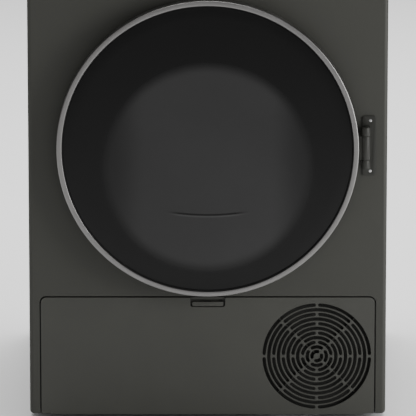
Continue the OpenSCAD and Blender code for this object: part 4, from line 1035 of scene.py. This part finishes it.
def kick_outline(half, side, pocket):
    """Face of the kick panel: its lower lip, and the pocket that is open to the seam."""
    top = kick_hi.z
    low = kick_lo.z
    lip_z = low + LIP_DROP
    lip_x = half - LIP_IN
    step_x = lip_x - LIP_SLOPE
    neck_z = top - 3 * MM
    mouth_x = side + POCKET_FLARE
    corners = [(-half, lip_z), (-lip_x, lip_z), (-step_x, low), (step_x, low), (lip_x, lip_z),
               (half, lip_z), (half, top), (mouth_x, top), (side, neck_z), (side, pocket),
               (-side, pocket), (-side, neck_z), (-mouth_x, top), (-half, top)]
    lower = [FOOT_EDGE] + [1 * MM] * 4 + [FOOT_EDGE]
    upper = [KICK_CORNER_R, 1 * MM, 1.5 * MM, POCKET_R]
    return polygon_shape(corners, lower + upper + upper[::-1], 8)


def kick_arch(half):
    """Section of the kick panel's rim, which is open at the bottom."""
    outer, inner = half - RIM_GAP, half - WALL
    outer_top, inner_top = kick_hi.z - RIM_GAP, kick_hi.z - WALL
    outer_r, inner_r = KICK_CORNER_R - RIM_GAP, KICK_CORNER_R - WALL
    corners = [(-outer, BASE_Z), (-inner, BASE_Z), (-inner, inner_top), (inner, inner_top),
               (inner, BASE_Z), (outer, BASE_Z), (outer, outer_top), (-outer, outer_top)]
    return polygon_shape(corners, [RIM_GAP, RIM_GAP, inner_r, inner_r, RIM_GAP, RIM_GAP,
                                   outer_r, outer_r], 8)


def build_kick_panel():
    half = (kick_hi.x - kick_lo.x) / 2
    side = latch_hi.x + POCKET_SIDE
    pocket = latch_lo.z - LATCH_SEAM
    face = plate("kick_face", [kick_outline(half, side, pocket)] + grille_slots(), KICK_T,
                 0.6 * MM, front_at(FRONT_Y))
    rim = plate("kick_rim", [kick_arch(half)], KICK_RIM, 0.1 * MM,
                front_at(FRONT_Y + KICK_T - 0.1 * MM))
    floor = rect_shape(-side - 1 * MM, side + 1 * MM, pocket - 1 * MM, kick_hi.z - 1 * MM, 2 * MM)
    slot = rect_shape(-STEM_X - STEM_GAP, STEM_X + STEM_GAP, LATCH_Z - STEM_Z - STEM_GAP,
                      LATCH_Z + STEM_Z + STEM_GAP, 2 * MM)
    ledge = plate("pocket_floor", [floor, slot], 1.2 * MM, 0.2 * MM,
                  front_at(FRONT_Y + POCKET_DEPTH))
    whole = join("kick_moulding", [face, rim, ledge] + grille_ribs() + kick_barrels())
    place(whole, "kick", "kick_panel", "kick_plastic", "kick_panel")
    # Dark disc behind the grille's slots: its near-black colour is painted shade for the hollow behind
    # them.
    disc = disc_profile(GRILLE_RINGS * SLOT_PITCH + 5 * MM, SHADE_DISC_Y, SHADE_DISC_Y + 0.8 * MM,
                        0.3 * MM)
    shade_disc = lathe("grille_shade_disc", disc, (GRILLE_X, GRILLE_Z), 96)
    place(shade_disc, "painted_shade", "kick_panel", "kick_plastic")


def build_seam_shade_strips():
    """Black foam strips in the seams at the kick panel's ends, stuck to the cabinet; their black is also
    painted shade for the depth of the seams.
    """
    strips = []
    near, far = kick_hi.x + STRIP_GAP, kick_hi.x + SEAM - 0.1 * MM
    for side in (-1, 1):
        x0, x1 = sorted((side * near, side * far))
        strip = rect_shape(x0, x1, BASE_Z + STRIP_GAP, kick_hi.z - 10 * MM, 0.4 * MM, 3)
        strips.append(plate("seam_shade_strip", [strip], 9 * MM, 0.3 * MM,
                            front_at(FRONT_Y + 2.2 * MM)))
    place(join("seam_seals_and_shade", strips), "rubber", "cabinet", "seal_rubber")


def build_latch():
    tab = plate("latch_tab", [rect_shape(latch_lo.x, latch_hi.x, latch_lo.z, latch_hi.z, 2.5 * MM)],
                LATCH_T, 0.9 * MM, front_at(FRONT_Y))
    back = FRONT_Y + LATCH_T - 1 * MM
    stem = plate("latch_stem", [rect_shape(-STEM_X, STEM_X, LATCH_Z - STEM_Z, LATCH_Z + STEM_Z,
                                           2 * MM)],
                 latch_hi.y - back, 0.5 * MM, front_at(back))
    whole = join("latch_push_tab", [tab, stem])
    place(whole, "kick", "kick_latch", "kick_plastic", "kick_latch")


# ---- Camera and light ----

VIEW_ELEVATION = 13.0
VIEW_DISTANCE = 8.53
VIEW_LENS = 445.0
VIEW_TARGET = Vector((0.5 * MM, FRONT_Y, 365 * MM))


def build_camera():
    data = bpy.data.cameras.new("camera")
    data.lens = VIEW_LENS
    data.sensor_width = 36.0
    data.clip_end = 100.0
    camera = bpy.data.objects.new("camera", data)
    a = math.radians(VIEW_ELEVATION)
    camera.location = VIEW_TARGET + VIEW_DISTANCE * Vector((0, -math.cos(a), math.sin(a)))
    camera.rotation_euler = (VIEW_TARGET - camera.location).to_track_quat("-Z", "Y").to_euler()
    bpy.context.scene.collection.objects.link(camera)
    bpy.context.scene.camera = camera


def softbox(name, place_at, aim, width, height, power, colour=(1, 1, 1)):
    data = bpy.data.lights.new(name, "AREA")
    data.shape = "RECTANGLE"
    data.size = width
    data.size_y = height
    data.energy = power
    data.color = colour
    light = bpy.data.objects.new(name, data)
    light.location = place_at
    light.rotation_euler = (Vector(aim) - Vector(place_at)).to_track_quat("-Z", "Y").to_euler()
    bpy.context.scene.collection.objects.link(light)


def build_stage():
    bm = bmesh.new()
    bmesh.ops.create_grid(bm, x_segments=8, y_segments=8, size=14.0)
    floor = finish_mesh(bm, "floor")
    material, nodes, links, shader, place_at = new_material("floor_pale")
    cloudy = noise(nodes, links, place_at, 1.5, 2.0)
    links.new(mixed(nodes, links, cloudy, (0.86, 0.86, 0.86), (0.88, 0.88, 0.88)),
              shader.inputs["Base Color"])
    shader.inputs["Roughness"].default_value = 0.9
    floor.data.materials.append(material)
    world = bpy.data.worlds.new("studio")
    world.use_nodes = True
    world.node_tree.nodes["Background"].inputs["Color"].default_value = (1, 1, 1, 1)
    world.node_tree.nodes["Background"].inputs["Strength"].default_value = 0.5
    bpy.context.scene.world = world
    aim = (0, 0, 0.42)
    softbox("key", (2.1, -1.4, 0.75), aim, 1.1, 1.3, 42)
    softbox("top", (0.0, 0.9, 3.2), aim, 2.6, 2.6, 145)
    softbox("back", (0.5, 3.4, 2.2), aim, 2.4, 1.8, 60)


build_camera()
build_stage()
paint_frame()
build_front_panel()
build_fascia()
build_worktop()
build_ring()
build_pane()
build_buttons()
build_knob()
build_kick_panel()
build_latch()
build_seam_shade_strips()
soften_frame()
build_display()
